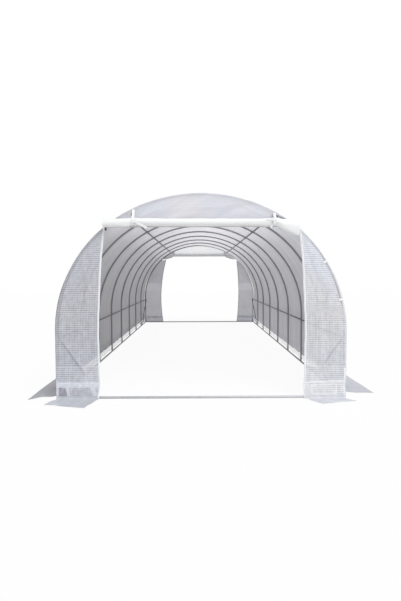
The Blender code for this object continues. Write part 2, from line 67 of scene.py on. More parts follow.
# Each end as someone outside sees it. A zip is three points (x, z) and how far its foot turns outwards, a
# flap its inner and outer corner (x, out), a strap its middle and top. Droops are how far the roll's loose
# layers hang at its left and right end, sags how far the whole roll sinks there, travel how far the door
# comes down.
ends = {
    "front": dict(
        turn=1, seam=1.7995, headerFoot=1.773, travel=1.66, rollTop=1.8635, rollEnds=(-0.992, 1.000),
        droops=(0.002, 0.072), sags=(0.004, 0.022), straps=dict(left=(-0.684, 1.953), right=(0.748, 1.915)),
        zips=dict(left=[(0.994, 1.775), (1.064, 0.76), (1.051, 0.03), 0.022],
                  right=[(1.021, 1.735), (1.083, 0.76), (1.067, 0.03), 0.010]),
        flaps=dict(left=[(1.138, 0.354), (1.578, 0.225)], right=[(1.212, 0.236), (1.592, 0.130)])),
    "rear": dict(
        turn=-1, seam=1.8495, headerFoot=1.815, travel=1.69, rollTop=1.9025, rollEnds=(-1.000, 1.000),
        droops=(0.075, 0.075), sags=(0.01, 0.01), straps=dict(left=(-0.70, 1.94), right=(0.70, 1.94)),
        zips=dict(left=[(1.034, 1.690), (1.092, 0.90), (1.043, 0.03), 0.0],
                  right=[(0.918, 1.715), (1.060, 0.72), (1.010, 0.03), 0.0]),
        flaps=dict(left=[(1.190, 0.340), (1.580, 0.230)], right=[(1.150, 0.354), (1.580, 0.230)])),
}
handOf = dict(left=-1, right=1)
groundZ = 0.03  # where the upright end films turn into their flaps


def hoopLine(s, offset=0.0):
    # x, z and lean of the outline at s metres from the ridge, negative to the left, offset metres outside
    # the tube's centre line: the lean grows evenly along each arc, and the line drops straight past them
    a = np.abs(s)
    beyondCrown = (a - hoop["crownLength"]) / hoop["haunchRadius"]
    lean = np.where(beyondCrown < 0, a / hoop["crownRadius"], hoop["crownLean"] + beyondCrown)
    lean = np.minimum(lean, math.pi / 2)
    onCrown = beyondCrown < 0
    radius = np.where(onCrown, hoop["crownRadius"], hoop["haunchRadius"])
    middle = np.where(onCrown, 0.0, hoop["halfSpan"] - hoop["haunchRadius"])
    height = np.where(onCrown, hoop["crownCentre"], hoop["haunchCentre"])
    x = middle + (radius + offset) * np.sin(lean)
    z = height + (radius + offset) * np.cos(lean) - np.maximum(a - hoop["curveLength"], 0.0)
    return np.sign(s) * x, z, np.sign(s) * lean


downOutline, overCrown = np.linspace(0.0, 3.2, 4000), np.linspace(1e-6, 2.2, 4000)


def rimWidth(z, offset):
    # half the width of the outline at a height
    x, height, _ = hoopLine(downOutline, offset)
    return np.interp(z, height[::-1], x[::-1])


def rimHeight(x, offset):
    # the outline's height over a point of the crown or haunch
    across, z, _ = hoopLine(overCrown, offset)
    return np.interp(np.abs(x), across, z)


def zipX(points, z):
    # the parabola through the three points of a zip, and the turn of its foot
    xs, zs = zip(*points[:3])
    return np.polyval(np.polyfit(zs, xs, 2), z) + points[3] * smooth((0.15 - z) / 0.13)


def sideInFrame(side, turn):
    return side if turn == 1 else dict(left="right", right="left")[side]


def atEnd(turn, x, out, z):
    # points given as x, distance out of the end hoop's plane and height, turned to the front or the rear
    x, out, z = np.broadcast_arrays(x, out, z)
    return np.stack([turn * x, -turn * (halfLength + out), z], axis=-1)


def smooth(t):
    # a soft step from 0 to 1
    t = np.clip(t, 0.0, 1.0)
    return t * t * (3 - 2 * t)


def makeWaves(seed, count, shortest, longest, stretch=1.0):
    # a few crossing sine waves: frequency along a and b, phase and height, taller where longer; stretch
    # above 1 turns the crests along b
    draw = np.random.default_rng(seed)
    length = np.exp(draw.uniform(math.log(shortest), math.log(longest), count))
    turn = draw.uniform(0, math.pi, count)
    a, b = np.cos(turn) * stretch, np.sin(turn) / stretch
    size = np.hypot(a, b)
    phase = draw.uniform(0, 1, count)
    return np.stack([a / size / length, b / size / length, phase, length / longest], axis=1)


def waveHeight(waves, a, b):
    # the waves added up at (a, b), scaled so that about two thirds of the surface stays within 1
    total = sum(h * np.sin(2 * math.pi * (fa * a + fb * b + phase)) for fa, fb, phase, h in waves)
    return total / math.sqrt((waves[:, 3] ** 2).sum() / 2)


# Meshes

def net(points, ringRows=False, ringColumns=False, caps=False, flip=False):
    # a grid of points, and whether it closes on itself down its rows or along its columns
    return dict(points=np.asarray(points, float), ringRows=ringRows, ringColumns=ringColumns, caps=caps,
                flip=flip)


def metresAlong(points, axis, ring):
    # the mean distance from the first row or column to each other one
    step = np.linalg.norm(np.roll(points, -1, axis) - points, axis=2).mean(axis=1 - axis)
    return np.append(0.0, np.cumsum(step if ring else step[:-1]))


def buildPiece(name, nets, material, body="tunnel", closed=True, sharp=40.0):
    # quads between neighbouring points of each net, with a UV map in metres measured on the net itself
    corners, faces, cuts, start = [], [], [], 0
    for one in nets:
        points = one["points"]
        rows, columns = points.shape[:2]
        i, j = np.meshgrid(np.arange(rows if one["ringRows"] else rows - 1),
                           np.arange(columns if one["ringColumns"] else columns - 1), indexing="ij")
        i, j = i.ravel(), j.ravel()
        order = [(i, j), (i, j + 1), (i + 1, j + 1), (i + 1, j)][:: -1 if one["flip"] else 1]
        faces += (start + np.stack([a % rows * columns + b % columns for a, b in order], axis=1)).tolist()
        down, across = metresAlong(points, 0, one["ringRows"]), metresAlong(points, 1, one["ringColumns"])
        places = [np.stack([across[b], down[a]], axis=1) for a, b in order]
        cuts.append(np.stack(places, axis=1).reshape(-1, 2))
        if one["caps"]:
            first = start + np.arange(columns)
            faces += [first.tolist(), (first + (rows - 1) * columns)[::-1].tolist()]
            cuts.append(np.zeros((2 * columns, 2)))
        corners.append(points.reshape(-1, 3))
        start += rows * columns
    mesh = bpy.data.meshes.new(name)
    mesh.from_pydata(np.concatenate(corners), [], faces)
    mesh.uv_layers.new(name="cut").data.foreach_set("uv", np.concatenate(cuts).astype(np.float32).ravel())
    if closed:
        work = bmesh.new()
        work.from_mesh(mesh)
        bmesh.ops.recalc_face_normals(work, faces=work.faces)
        work.to_mesh(mesh)
        work.free()
    mesh.materials.append(material)
    mesh.shade_smooth()
    mesh.set_sharp_from_angle(angle=math.radians(sharp))
    piece = bpy.data.objects.new(name, mesh)
    bpy.context.scene.collection.objects.link(piece)
    if body:
        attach(piece, body)
    return piece


def buildSheet(name, nets, material, body="tunnel"):
    return buildPiece(name, nets, material, body, closed=False)


def tube(path, side, up, radius, bore=None, around=16, caps=True):
    # a circle round each point of the path, with side and up across it; a bore goes back inside
    path = np.atleast_2d(np.asarray(path, float))
    side, up = np.broadcast_to(side, path.shape), np.broadcast_to(up, path.shape)
    turn = (np.arange(around) + 0.5) * 2 * math.pi / around

    def rings(size):
        size = np.broadcast_to(size, len(path))[:, None, None]
        ring = np.cos(turn)[:, None] * side[:, None] + np.sin(turn)[:, None] * up[:, None]
        return path[:, None] + size * ring

    if bore is None:
        return net(rings(radius), ringColumns=True, caps=caps)
    return net(np.concatenate([rings(radius), rings(bore)[::-1]]), ringRows=True, ringColumns=True)


def acrossOf(along):
    # two directions square to a line and to each other
    along = np.asarray(along, float) / np.linalg.norm(along)
    side = np.cross(along, (0, 0, 1) if abs(along[2]) < 0.9 else (1, 0, 0))
    side /= np.linalg.norm(side)
    return side, np.cross(along, side)


def turned(origin, axis, profile, around=12):
    # a lathe shape: profile rows are distance along the axis and radius there
    axis = np.asarray(axis, float) / np.linalg.norm(axis)
    profile = np.asarray(profile, float)
    side, up = acrossOf(axis)
    return tube(np.asarray(origin) + profile[:, :1] * axis, side, up, profile[:, 1], around=around)


# Materials

def addNode(tree, kind, sockets=None, **fields):
    # a shader node with its fields set, and each socket given a value or a link
    made = tree.nodes.new("ShaderNode" + kind)
    for field, value in fields.items():
        setattr(made, field, value)
    for socket, value in (sockets or {}).items():
        if isinstance(value, bpy.types.NodeSocket):
            tree.links.new(value, made.inputs[socket])
        else:
            made.inputs[socket].default_value = value
    return made


def startMaterial(name):
    material = bpy.data.materials.new(name)
    material.use_nodes = True
    tree = material.node_tree
    tree.nodes.clear()
    return material, tree


def finishMaterial(tree, shader):
    addNode(tree, "OutputMaterial", {"Surface": shader})


def ramp(tree, value, stops):
    # stops are places and a grey or a colour at each
    made = addNode(tree, "ValToRGB", {"Fac": value})
    for k, (place, shade) in enumerate(stops):
        stop = made.color_ramp.elements[k] if k < 2 else made.color_ramp.elements.new(place)
        stop.position = place
        stop.color = (*shade, 1.0) if hasattr(shade, "__len__") else (shade, shade, shade, 1.0)
    return made.outputs["Color"]


def mixColour(tree, amount, one, other, how="MIX"):
    sockets = {0: amount, 6: one, 7: other}
    for socket, shade in sockets.items():
        if isinstance(shade, tuple):
            sockets[socket] = (*shade, 1.0)
    return addNode(tree, "Mix", sockets, data_type="RGBA", blend_type=how).outputs[2]


def calc(tree, how, one, other=0.0):
    return addNode(tree, "Math", {0: one, 1: other}, operation=how).outputs[0]


def cutMap(tree):
    return addNode(tree, "UVMap", uv_map="cut").outputs["UV"]


def bands(tree, where, pitch, direction, wander=0.0):
    # bright and dark bands pitch metres apart, since a wave texture repeats every pi / 10
    sockets = {"Vector": where, "Scale": math.pi / 10 / pitch, "Distortion": wander, "Detail": 1.0,
               "Detail Scale": 0.4}
    return addNode(tree, "TexWave", sockets, bands_direction=direction).outputs["Fac"]


def noise(tree, where, scale, detail=2.0, rough=0.5, distortion=0.0):
    sockets = {"Vector": where, "Scale": scale, "Detail": detail, "Roughness": rough,
               "Distortion": distortion}
    return addNode(tree, "TexNoise", sockets).outputs["Fac"]


def stretched(tree, where, across, down):
    return addNode(tree, "Mapping", {"Vector": where, "Scale": (across, down, 1.0)}).outputs[0]


def objectPlace(tree):
    return addNode(tree, "TexCoord").outputs["Object"]


def rising(tree, value, low, high, start=0.0, end=1.0):
    # start where the value is low or less, end where it is high or more
    return addNode(tree, "MapRange", {0: value, 1: low, 2: high, 3: start, 4: end}).outputs[0]


def coated(tree, colour, roughness, relief, strength, depth, more=None):
    # a finish with its relief as a bump
    bump = addNode(tree, "Bump", {"Height": relief, "Strength": strength, "Distance": depth}).outputs[0]
    sockets = {"Base Color": colour, "Roughness": roughness, "Normal": bump, **(more or {})}
    return addNode(tree, "BsdfPrincipled", sockets).outputs[0], bump


def glowing(tree, glow, body, colour, bump):
    # a share of the light passes through as a soft glow
    through = addNode(tree, "BsdfTranslucent", {"Color": colour, "Normal": bump}).outputs[0]
    return addNode(tree, "MixShader", {0: glow, 1: body, 2: through}).outputs[0]


def filmMaterial(name, shade, see, glow, rib, look, heights=None, rightHeights=None):
    # reinforced film: rows of threads broken into dashes, finer upright ones, soft stains, streaks that are
    # partly stains and partly painted light, and creases in the bump. see is how far it can be looked
    # through, glow the share of light that passes as a soft glow, rib how dark its threads are; heights are
    # heights above the ground, up to tallest, and how bright the film is there, and rightHeights the same
    # right of the middle
    tallest = 2.2
    material, tree = startMaterial(name)
    cut = cutMap(tree)
    rows = ramp(tree, bands(tree, cut, look["rowPitch"], "Y", look["wander"]), [(0.30, 0.0), (0.85, 1.0)])
    posts = ramp(tree, bands(tree, cut, look["postPitch"], "X", look["wander"]), [(0.5, 0.0), (0.95, 1.0)])
    weave = calc(tree, "MULTIPLY", bands(tree, cut, look["weave"], "X"), bands(tree, cut, look["weave"], "Y"))
    dashes = noise(tree, stretched(tree, cut, *look["dashes"]), 1.0)
    patches = ramp(tree, dashes, [(0.40, look["faint"]), (0.60, 1.0)])
    thread = calc(tree, "MULTIPLY", rows, patches)
    thread = calc(tree, "ADD", thread, calc(tree, "MULTIPLY", posts, look["postShare"]))
    cloud = noise(tree, cut, look["cloudScale"])
    # streaks, partly stains and partly painted light: painted glints in bands across the roof's crown,
    # painted fold shade upright on the panels
    slanted = addNode(tree, "Mapping", {"Vector": cut, "Rotation": (0.0, 0.0, look["slant"])}).outputs[0]
    stainAndLight = noise(tree, stretched(tree, slanted, *look["stainAndLightStreaks"]), 1.0, 3.0)
    stainAndLight = ramp(tree, stainAndLight, [(0.3, 1 - look["stainAndLightDepth"]), (0.7, 1.0)])
    dark = tuple(c * (1 - rib) for c in shade)
    tint = mixColour(tree, ramp(tree, cloud, [(0.35, 0.0), (0.65, 1.0)]), look["cool"], look["warm"])
    colour = mixColour(tree, thread, shade, dark)
    colour = mixColour(tree, calc(tree, "MULTIPLY", weave, look["weaveShare"]), colour, dark)
    colour = mixColour(tree, 1.0, colour, tint, "MULTIPLY")
    colour = mixColour(tree, 1.0, colour, stainAndLight, "MULTIPLY")
    # on the roof the height ramps are painted light and shade: darker down the walls, brighter at the crown
    if heights:
        place = addNode(tree, "SeparateXYZ", {0: objectPlace(tree)}).outputs
        share = calc(tree, "DIVIDE", place["Z"], tallest)
        tone = ramp(tree, share, [(z / tallest, k) for z, k in heights])
        if rightHeights:
            right = ramp(tree, share, [(z / tallest, k) for z, k in rightHeights])
            tone = mixColour(tree, rising(tree, place["X"], -0.5, 0.5), tone, right)
        colour = mixColour(tree, 1.0, colour, tone, "MULTIPLY")
    crease = noise(tree, cut, look["creaseScale"], 3.0, distortion=1.2)
    threads = calc(tree, "ADD", calc(tree, "MULTIPLY", thread, look["threadHeight"]),
                   calc(tree, "MULTIPLY", weave, look["weaveHeight"]))
    body, bump = coated(tree, colour, look["roughness"], calc(tree, "ADD", threads, crease), 0.35,
                        look["creaseDepth"], {"Alpha": 1 - see, "Specular IOR Level": 0.4})
    finishMaterial(tree, glowing(tree, glow, body, colour, bump))
    return material


# the upright streaks are painted fold shade on the panels
filmLook = dict(rowPitch=0.022, postPitch=0.022, wander=0.6, dashes=(30.0, 16.0), faint=0.42, postShare=0.22,
                weave=0.0044, weaveShare=0.10, weaveHeight=0.025, cloudScale=1.9, cool=(0.94, 0.97, 1.015),
                warm=(1.005, 0.985, 0.975), stainAndLightStreaks=(12.0, 0.8), stainAndLightDepth=0.15, slant=0.0, creaseScale=3.5,
                creaseDepth=0.007, threadHeight=0.12, roughness=0.42)
smoothLook = dict(filmLook, postShare=0.05, threadHeight=0.02, creaseScale=2.2, creaseDepth=0.010,
                  stainAndLightStreaks=(1.4, 3.0), stainAndLightDepth=0.07)
bandLook = dict(smoothLook, cloudScale=26.0, cool=(0.80, 0.82, 0.88), warm=(1.0, 1.0, 1.0),
                stainAndLightStreaks=(40.0, 8.0), stainAndLightDepth=0.10)
rearLook = dict(smoothLook, cloudScale=3.2, cool=(0.90, 0.92, 0.95), stainAndLightStreaks=(3.0, 1.5), stainAndLightDepth=0.16)
paleLook = dict(filmLook, cloudScale=16.0, cool=(0.93, 0.94, 0.97), stainAndLightStreaks=(30.0, 6.0), stainAndLightDepth=0.12)
patchLook = dict(filmLook, cloudScale=14.0, cool=(0.88, 0.88, 0.92), stainAndLightStreaks=(30.0, 6.0), stainAndLightDepth=0.2)
gableLook = dict(smoothLook, stainAndLightStreaks=(1.6, 14.0), stainAndLightDepth=0.13, slant=-0.36)
# the roof's streaks are painted glints in bands across the crown, between the hoops
roofLook = dict(filmLook, stainAndLightStreaks=(0.8, 9.0), stainAndLightDepth=0.18, faint=0.5, cool=(0.97, 0.97, 1.0))


def steelMaterial(name, shade, metallic=0.75, paintedLeftShade=1.0):
    # zinc: flakes of a few millimetres and dull patches; paintedLeftShade is how bright the left half is
    # painted, a painted shade that darkens the tube towards the left
    material, tree = startMaterial(name)
    place = objectPlace(tree)
    flakes = addNode(tree, "TexVoronoi", {"Vector": place, "Scale": 160.0}).outputs["Color"]
    flake = addNode(tree, "SeparateColor", {0: flakes}).outputs[0]
    dull = noise(tree, place, 14.0, 4.0, 0.6)
    mixed = calc(tree, "ADD", calc(tree, "MULTIPLY", flake, 0.35), calc(tree, "MULTIPLY", dull, 0.65))
    colour = ramp(tree, mixed, [(0.25, tuple(0.8 * c for c in shade)), (0.75, shade)])
    # painted shade: the colour darkens towards the left, as if the light fell from the right
    if paintedLeftShade < 1.0:
        across = addNode(tree, "SeparateXYZ", {0: place}).outputs["X"]
        colour = mixColour(tree, 1.0, colour, rising(tree, across, -0.4, 0.7, paintedLeftShade), "MULTIPLY")
    rough = ramp(tree, dull, [(0.3, 0.38), (0.7, 0.58)])
    finishMaterial(tree, coated(tree, colour, rough, mixed, 0.2, 0.0004, {"Metallic": metallic})[0])
    return material


def fittingMaterial(name, low, high, metallic, roughness):
    # zinc fittings and moulded plastic: a fine grain with worn, lighter spots
    material, tree = startMaterial(name)
    place = objectPlace(tree)
    colour = ramp(tree, noise(tree, place, 55.0, 4.0, 0.65), [(0.35, low), (0.7, high)])
    grain = noise(tree, place, 900.0)
    finishMaterial(tree, coated(tree, colour, roughness, grain, 0.15, 0.0002, {"Metallic": metallic})[0])
    return material


def looseEndLightAndShade(tree):
    # the roll's loose right end, lightened by a painted highlight, and its part where a single layer hangs,
    # greyed by a painted shade for the shaded tunnel seen through it: each a share and a colour
    place = addNode(tree, "SeparateXYZ", {0: objectPlace(tree)}).outputs
    across = rising(tree, place["X"], 0.75, 0.80)
    slant = calc(tree, "ADD", place["Z"], calc(tree, "MULTIPLY", place["X"], 0.5))
    shadedSingleLayer = calc(tree, "MULTIPLY", across, rising(tree, slant, 2.195, 2.160))
    return (across, 0.9, (0.985, 0.985, 0.98)), (shadedSingleLayer, 0.85, (0.70, 0.705, 0.73))


def curtainMaterial(name, glow, looseEnd=False):
    # the curtain's heavier white film: fine crumples, a soft cloud and the thread rows just showing; at a
    # loose end a painted highlight lightens it, and a painted shade greys its single layer where the shaded
    # tunnel shows
    material, tree = startMaterial(name)
    cut = cutMap(tree)
    base = ramp(tree, noise(tree, cut, 3.0, 3.0), [(0.3, (0.86, 0.865, 0.855)), (0.7, (0.93, 0.93, 0.93))])
    rows = calc(tree, "MULTIPLY", bands(tree, cut, 0.022, "Y", 0.6), 0.12)
    colour = mixColour(tree, rows, base, (0.74, 0.75, 0.75))
    # painted highlight and painted shade at the loose end
    for zone, share, shade in looseEndLightAndShade(tree) if looseEnd else ():
        colour = mixColour(tree, calc(tree, "MULTIPLY", zone, share), colour, shade)
    crumple = noise(tree, cut, 14.0, 4.0, distortion=1.5)
    body, bump = coated(tree, colour, 0.45, crumple, 0.4, 0.004, {"Specular IOR Level": 0.4})
    finishMaterial(tree, glowing(tree, glow, body, colour, bump))
    return material


def wovenMaterial(name, shade, pitch, depth):
    # webbing and zip tape: ribs along and across that show as a fine check
    material, tree = startMaterial(name)
    cut = cutMap(tree)
    weave = calc(tree, "MULTIPLY", bands(tree, cut, pitch, "X"), bands(tree, cut, pitch, "Y"))
    colour = mixColour(tree, calc(tree, "MULTIPLY", weave, 0.5), shade, tuple(c * 0.72 for c in shade))
    dirt = ramp(tree, noise(tree, cut, 25.0, 3.0), [(0.45, 0.0), (0.8, 0.25)])
    colour = mixColour(tree, dirt, colour, tuple(c * 0.85 for c in shade))
    finishMaterial(tree, coated(tree, colour, 0.75, weave, 0.5, depth)[0])
    return material


def coilMaterial(name):
    # zip teeth as close ribs across the coil
    material, tree = startMaterial(name)
    teeth = bands(tree, cutMap(tree), 0.0024, "Y")
    colour = ramp(tree, teeth, [(0.2, (0.62, 0.62, 0.63)), (0.7, (0.86, 0.86, 0.86))])
    finishMaterial(tree, coated(tree, colour, 0.35, teeth, 0.8, 0.0008)[0])
    return material


steel = steelMaterial("galvanised_tube", (0.34, 0.345, 0.36))
# painted light and shade: lighter and darker copies of the one galvanised steel. The end arches and the front
# ground bar are lighter painted-light copies, painted darker towards the left; the braces, side rails and
# purlins are darker painted-shade copies
litEndHoopSteel = steelMaterial("galvanised_end_hoop_painted_light", (0.60, 0.60, 0.62), 0.2, 0.18)
shadedBraceSteel = steelMaterial("galvanised_brace_painted_shade", (0.025, 0.025, 0.028), 0.3)
shadedRailSteel = steelMaterial("galvanised_rail_painted_shade", (0.13, 0.132, 0.14), 0.5)
litBarSteel = steelMaterial("galvanised_bar_painted_light", (0.57, 0.57, 0.59), 0.1, 0.82)
zinc = fittingMaterial("zinc_fitting", (0.20, 0.205, 0.21), (0.42, 0.42, 0.43), 0.8, 0.4)
darkZinc = fittingMaterial("dark_zinc_fitting", (0.035, 0.036, 0.04), (0.10, 0.10, 0.11), 0.6, 0.5)
darkPlastic = fittingMaterial("dark_plastic_cap", (0.050, 0.052, 0.055), (0.12, 0.122, 0.128), 0.0, 0.45)
whitePlastic = fittingMaterial("white_moulded_plastic", (0.74, 0.74, 0.75), (0.84, 0.84, 0.84), 0.0, 0.35)
curtain = curtainMaterial("white_rolled_film", 0.06, looseEnd=True)
hanging = curtainMaterial("white_hanging_film", 0.35)
webbing = wovenMaterial("white_webbing_weave", (0.86, 0.86, 0.86), 0.0022, 0.0004)
zipTape = wovenMaterial("zip_tape_weave", (0.92, 0.93, 0.95), 0.0016, 0.0003)
zipCoil = coilMaterial("zip_coil")
filmKinds = dict(  # name, colour, see, glow, rib, look, and how bright it is at heights, left and right
    # painted light and shade: the roof film is darkened down the walls and brightened towards the crown, and
    # right of the middle it is painted lighter low on the wall
    roof=("roof_film", (0.892, 0.889, 0.93), 0.10, 0.5, 0.12, roofLook,
          [(0.2, 0.50), (0.9, 0.515), (1.5, 0.54), (1.72, 0.59), (1.92, 0.81), (2.1, 0.97)],
          [(0.2, 0.60), (0.55, 0.58), (0.9, 0.53), (1.4, 0.505), (1.72, 0.59), (1.92, 0.81), (2.1, 0.97)]),
    hem=("hem_film", (0.90, 0.90, 0.93), 0.12, 0.65, 0.05, smoothLook),
    # painted shadow: dark grey film for the strip on the front gable's corner
    shadowStrip=("painted_shadow_film", (0.40, 0.40, 0.44), 0.0, 0.1, 0.1, smoothLook),
    leftPanel=("left_panel_film", (0.85, 0.855, 0.91), 0.36, 0.15, 0.46, filmLook),
    leftFoot=("left_panel_foot_film", (0.765, 0.77, 0.815), 0.10, 0.15, 0.44, filmLook),
    rightPanel=("right_panel_film", (0.98, 0.99, 1.0), 0.28, 0.05, 0.36, filmLook,
                [(0.2, (0.92, 0.91, 0.92)), (0.9, (0.95, 0.94, 0.945)), (1.4, (1.0, 1.01, 1.06))]),
    rightFoot=("right_panel_foot_film", (0.85, 0.85, 0.875), 0.12, 0.05, 0.34, filmLook),
    gable=("gable_film", (0.87, 0.865, 0.90), 0.08, 0.30, 0.03, gableLook),
    rearGable=("rear_gable_film", (1.0, 0.995, 1.0), 0.62, 0.6, 0.02, smoothLook),
    rearRight=("rear_right_panel_film", (0.715, 0.71, 0.745), 0.12, 0.45, 0.12, rearLook,
               [(0.0, 0.97), (0.88, 0.99), (0.90, 1.13), (1.07, 1.10), (1.09, 0.94), (1.6, 0.9)]),
    rearLeft=("rear_left_panel_film", (0.68, 0.675, 0.71), 0.10, 0.45, 0.12, rearLook,
              [(0.0, 1.02), (0.86, 1.0), (0.90, 1.08), (1.07, 1.04), (1.10, 0.88), (1.3, 0.84), (1.7, 0.95)]),
    clear=("clear_strip_film", (1.0, 1.0, 1.0), 0.83, 0.07, 0.40, filmLook),
    leftSkirt=("left_skirt_film", (0.45, 0.445, 0.475), 0.06, 0.12, 0.25, filmLook,
               [(0.0, 0.92), (0.03, 1.0), (0.12, 1.9)]),
    rightSkirt=("right_skirt_film", (0.74, 0.745, 0.79), 0.06, 0.12, 0.2, filmLook,
                [(0.0, 0.94), (0.03, 1.0), (0.12, 1.2)]),
    leftFlap=("left_flap_film", (0.65, 0.665, 0.695), 0.06, 0.10, 0.2, filmLook),
    rightFlap=("right_flap_film", (0.80, 0.80, 0.83), 0.06, 0.10, 0.14, filmLook),
    band=("weld_band_film", (0.93, 0.93, 0.95), 0.15, 0.5, 0.10, smoothLook),
    lowBand=("low_band_film", (0.92, 0.93, 0.97), 0.05, 0.10, 0.15, bandLook),
    whiteBand=("white_band_film", (1.0, 1.0, 1.0), 0.03, 0.10, 0.05, smoothLook),
    patch=("low_patch_film", (0.83, 0.84, 0.89), 0.06, 0.10, 0.45, patchLook),
    darkPatch=("purple_patch_film", (0.62, 0.60, 0.68), 0.06, 0.10, 0.6, patchLook),
    palePatch=("pale_patch_film", (0.98, 0.985, 1.0), 0.04, 0.08, 0.30, paleLook),
)
films = {kind: filmMaterial(*row) for kind, row in filmKinds.items()}
print("materials made")


# Steel frame

tubes = dict(leg=(0.0125, 0.0114), spigot=0.0110, swage=0.06, rail=(0.010, 0.0088), brace=(0.008, 0.0068),
             gap=0.0003, stations=97, purlinOut=0.76, railHeight=0.64, braceTop=0.620, braceFoot=0.045)
# A brace's pressed ends: share of its length, how thick and how wide it is there
pressed = np.array([(0, 0.30, 1.0), (0.012, 0.30, 1.4), (0.03, 0.45, 1.3), (0.05, 1, 1), (0.5, 1, 1),
                    (0.95, 1, 1), (0.97, 0.45, 1.3), (0.988, 0.30, 1.4), (1, 0.30, 1.0)])


def makeHoops():
    # each arch is one tube on the outline from leg top to leg top, its ends swaged into the legs
    reach = hoop["curveLength"] + hoop["haunchCentre"] - hoop["legTop"] - tubes["gap"]
    x, z, lean = hoopLine(np.linspace(-reach, reach, tubes["stations"]))
    up = np.stack([np.sin(lean), 0 * lean, np.cos(lean)], axis=1)
    up = np.concatenate([up[:1], up[:1], up, up[-1:], up[-1:]])
    swaged = [tubes["spigot"]] * 2
    size = np.array([*swaged, *[tubes["leg"][0]] * len(x), *swaged])
    drop = np.array([[0, 0, -tubes["swage"]], [0, 0, 0]])
    foot = 2 * hoop["tube"] + tubes["gap"]
    for number, y in enumerate(hoopPlaces, start=1):
        path = np.stack([x, np.full_like(x, y), z], axis=1)
        path = np.concatenate([path[:1] + drop, path, path[-1:] + drop[::-1]])
        # the end arches take the lighter painted-light copy of the steel
        finish = litEndHoopSteel if number in (1, hoop["count"]) else steel
        arch = buildPiece(f"arch_tube_{number}", [tube(path, (0, 1, 0), up, size)], finish)
        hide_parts(f"arch_{number}")
        for name, hand in handOf.items():
            line = [(hand * hoop["halfSpan"], y, foot), (hand * hoop["halfSpan"], y, hoop["legTop"])]
            made = tube(line, (1, 0, 0), (0, 1, 0), *tubes["leg"])
            leg = buildPiece(f"leg_tube_{name}_{number}", [made], steel)
            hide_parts(f"leg_{name}_{number}")


def railLines():
    # the straight tubes: node name, two ends, radius and bore
    inside = hoop["tube"] + tubes["gap"] + tubes["rail"][0]
    far = halfLength + hoop["tube"]
    slope = math.asin(tubes["purlinOut"] / hoop["crownRadius"])
    x = tubes["purlinOut"] - inside * math.sin(slope)
    z = hoop["crownCentre"] + tubes["purlinOut"] / math.tan(slope) - inside * math.cos(slope)
    rails = dict(base_rail=(hoop["halfSpan"], hoop["tube"], tubes["leg"]), purlin=(x, z, tubes["rail"]),
                 side_rail=(hoop["halfSpan"] - inside, tubes["railHeight"], tubes["rail"]))
    found = {}
    for name, hand in handOf.items():
        for rail in ("base_rail", "side_rail", "purlin"):
            across, height, sizes = rails[rail]
            found[f"{rail}_{name}"] = ((hand * across, -far, height), (hand * across, far, height), *sizes)
    half = hoop["halfSpan"] - hoop["tube"] - tubes["gap"]
    wall = half - tubes["gap"] - tubes["brace"][0]
    for name, end in ends.items():
        y = -end["turn"] * halfLength
        found[f"ground_bar_{name}"] = ((-half, y, hoop["tube"]), (half, y, hoop["tube"]), *tubes["leg"])
        for side, hand in handOf.items():
            top = (hand * wall, y, tubes["braceTop"])
            foot = (hand * wall, y + end["turn"], tubes["braceFoot"])
            found[f"corner_brace_{name}_{side}"] = (top, foot, *tubes["brace"])
    return found


def makeRails():
    # open tubes; the braces are pressed flat at their ends, where the bolts go through
    # the braces, side rails and purlins take darker painted-shade copies of the steel, the front ground bar a
    # lighter painted-light one
    finishes = dict(base_rail=steel, side_rail=shadedRailSteel, purlin=shadedRailSteel, corner_brace=shadedBraceSteel)
    finishes.update(ground_bar_front=litBarSteel, ground_bar_rear=steel)
    for name, (start, end, size, bore) in railLines().items():
        start, end = np.array(start), np.array(end)
        finish = next(kind for key, kind in finishes.items() if name.startswith(key))
        if name.startswith("corner_brace"):
            places, flat, wide = (pressed[:, k : k + 1] for k in range(3))
            across = np.array([1.0, 0, 0])
            upright = np.cross(across, (end - start) / np.linalg.norm(end - start))
            made = tube(start + (end - start) * places, across * flat, upright * wide, size)
        else:
            made = tube([start, end], *acrossOf(end - start), size, bore)
        rail = buildPiece(f"{name}_tube", [made], finish)
        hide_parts(name)


# Lathe shapes, each as distances along its axis and radii; a wing is its middle line and the sizes along it
plugCut = dict(depth=0.0013, shank=[(-0.012, 0.95), (-0.001, 0.95)],
               dome=[(0.0, 0.98), (0.0006, 0.9), (0.0010, 0.5), (0.0011, 0.1)])  # radii as shares of the bore
boltCut = dict(nut=[(0.0, 0.008), (0.0012, 0.008), (0.0013, 0.0052), (0.007, 0.0046), (0.0075, 0.003),
                    (0.010, 0.0028), (0.0105, 0.001)],
               wing=[(0.003, 0.003), (0.006, 0.008), (0.0095, 0.0125), (0.012, 0.0145)],
               wingSizes=[0.0042, 0.0046, 0.0048, 0.0026], wingFlat=(0.55, 0.45, 0.34),
               pin=[(0.0, 0.003), (0.0089, 0.003)], pinInset=0.018, pinOut=0.0022,
               roofLean=(0.474, 0.88))
screwCut = dict(leg=[(0.0, 0.0052), (0.0016, 0.0050), (0.003, 0.0036), (0.0034, 0.001)],
                legHeight=0.66, legIn=0.0124,
                foot=[(0.0, 0.0060), (0.0022, 0.0060), (0.0034, 0.0048), (0.0038, 0.001)],
                footHeight=0.052, footIn=0.0140, footShift=0.004)
socketCut = dict(sleeve=[(0.0262, 0.0150), (0.030, 0.0142), (0.070, 0.0142), (0.074, 0.0136)], bore=0.01255,
                 saddle=(0.0141, 0.0128), wrap=0.15, reach=(0.032, 0.032), endReach=(0.0124, 0.030))


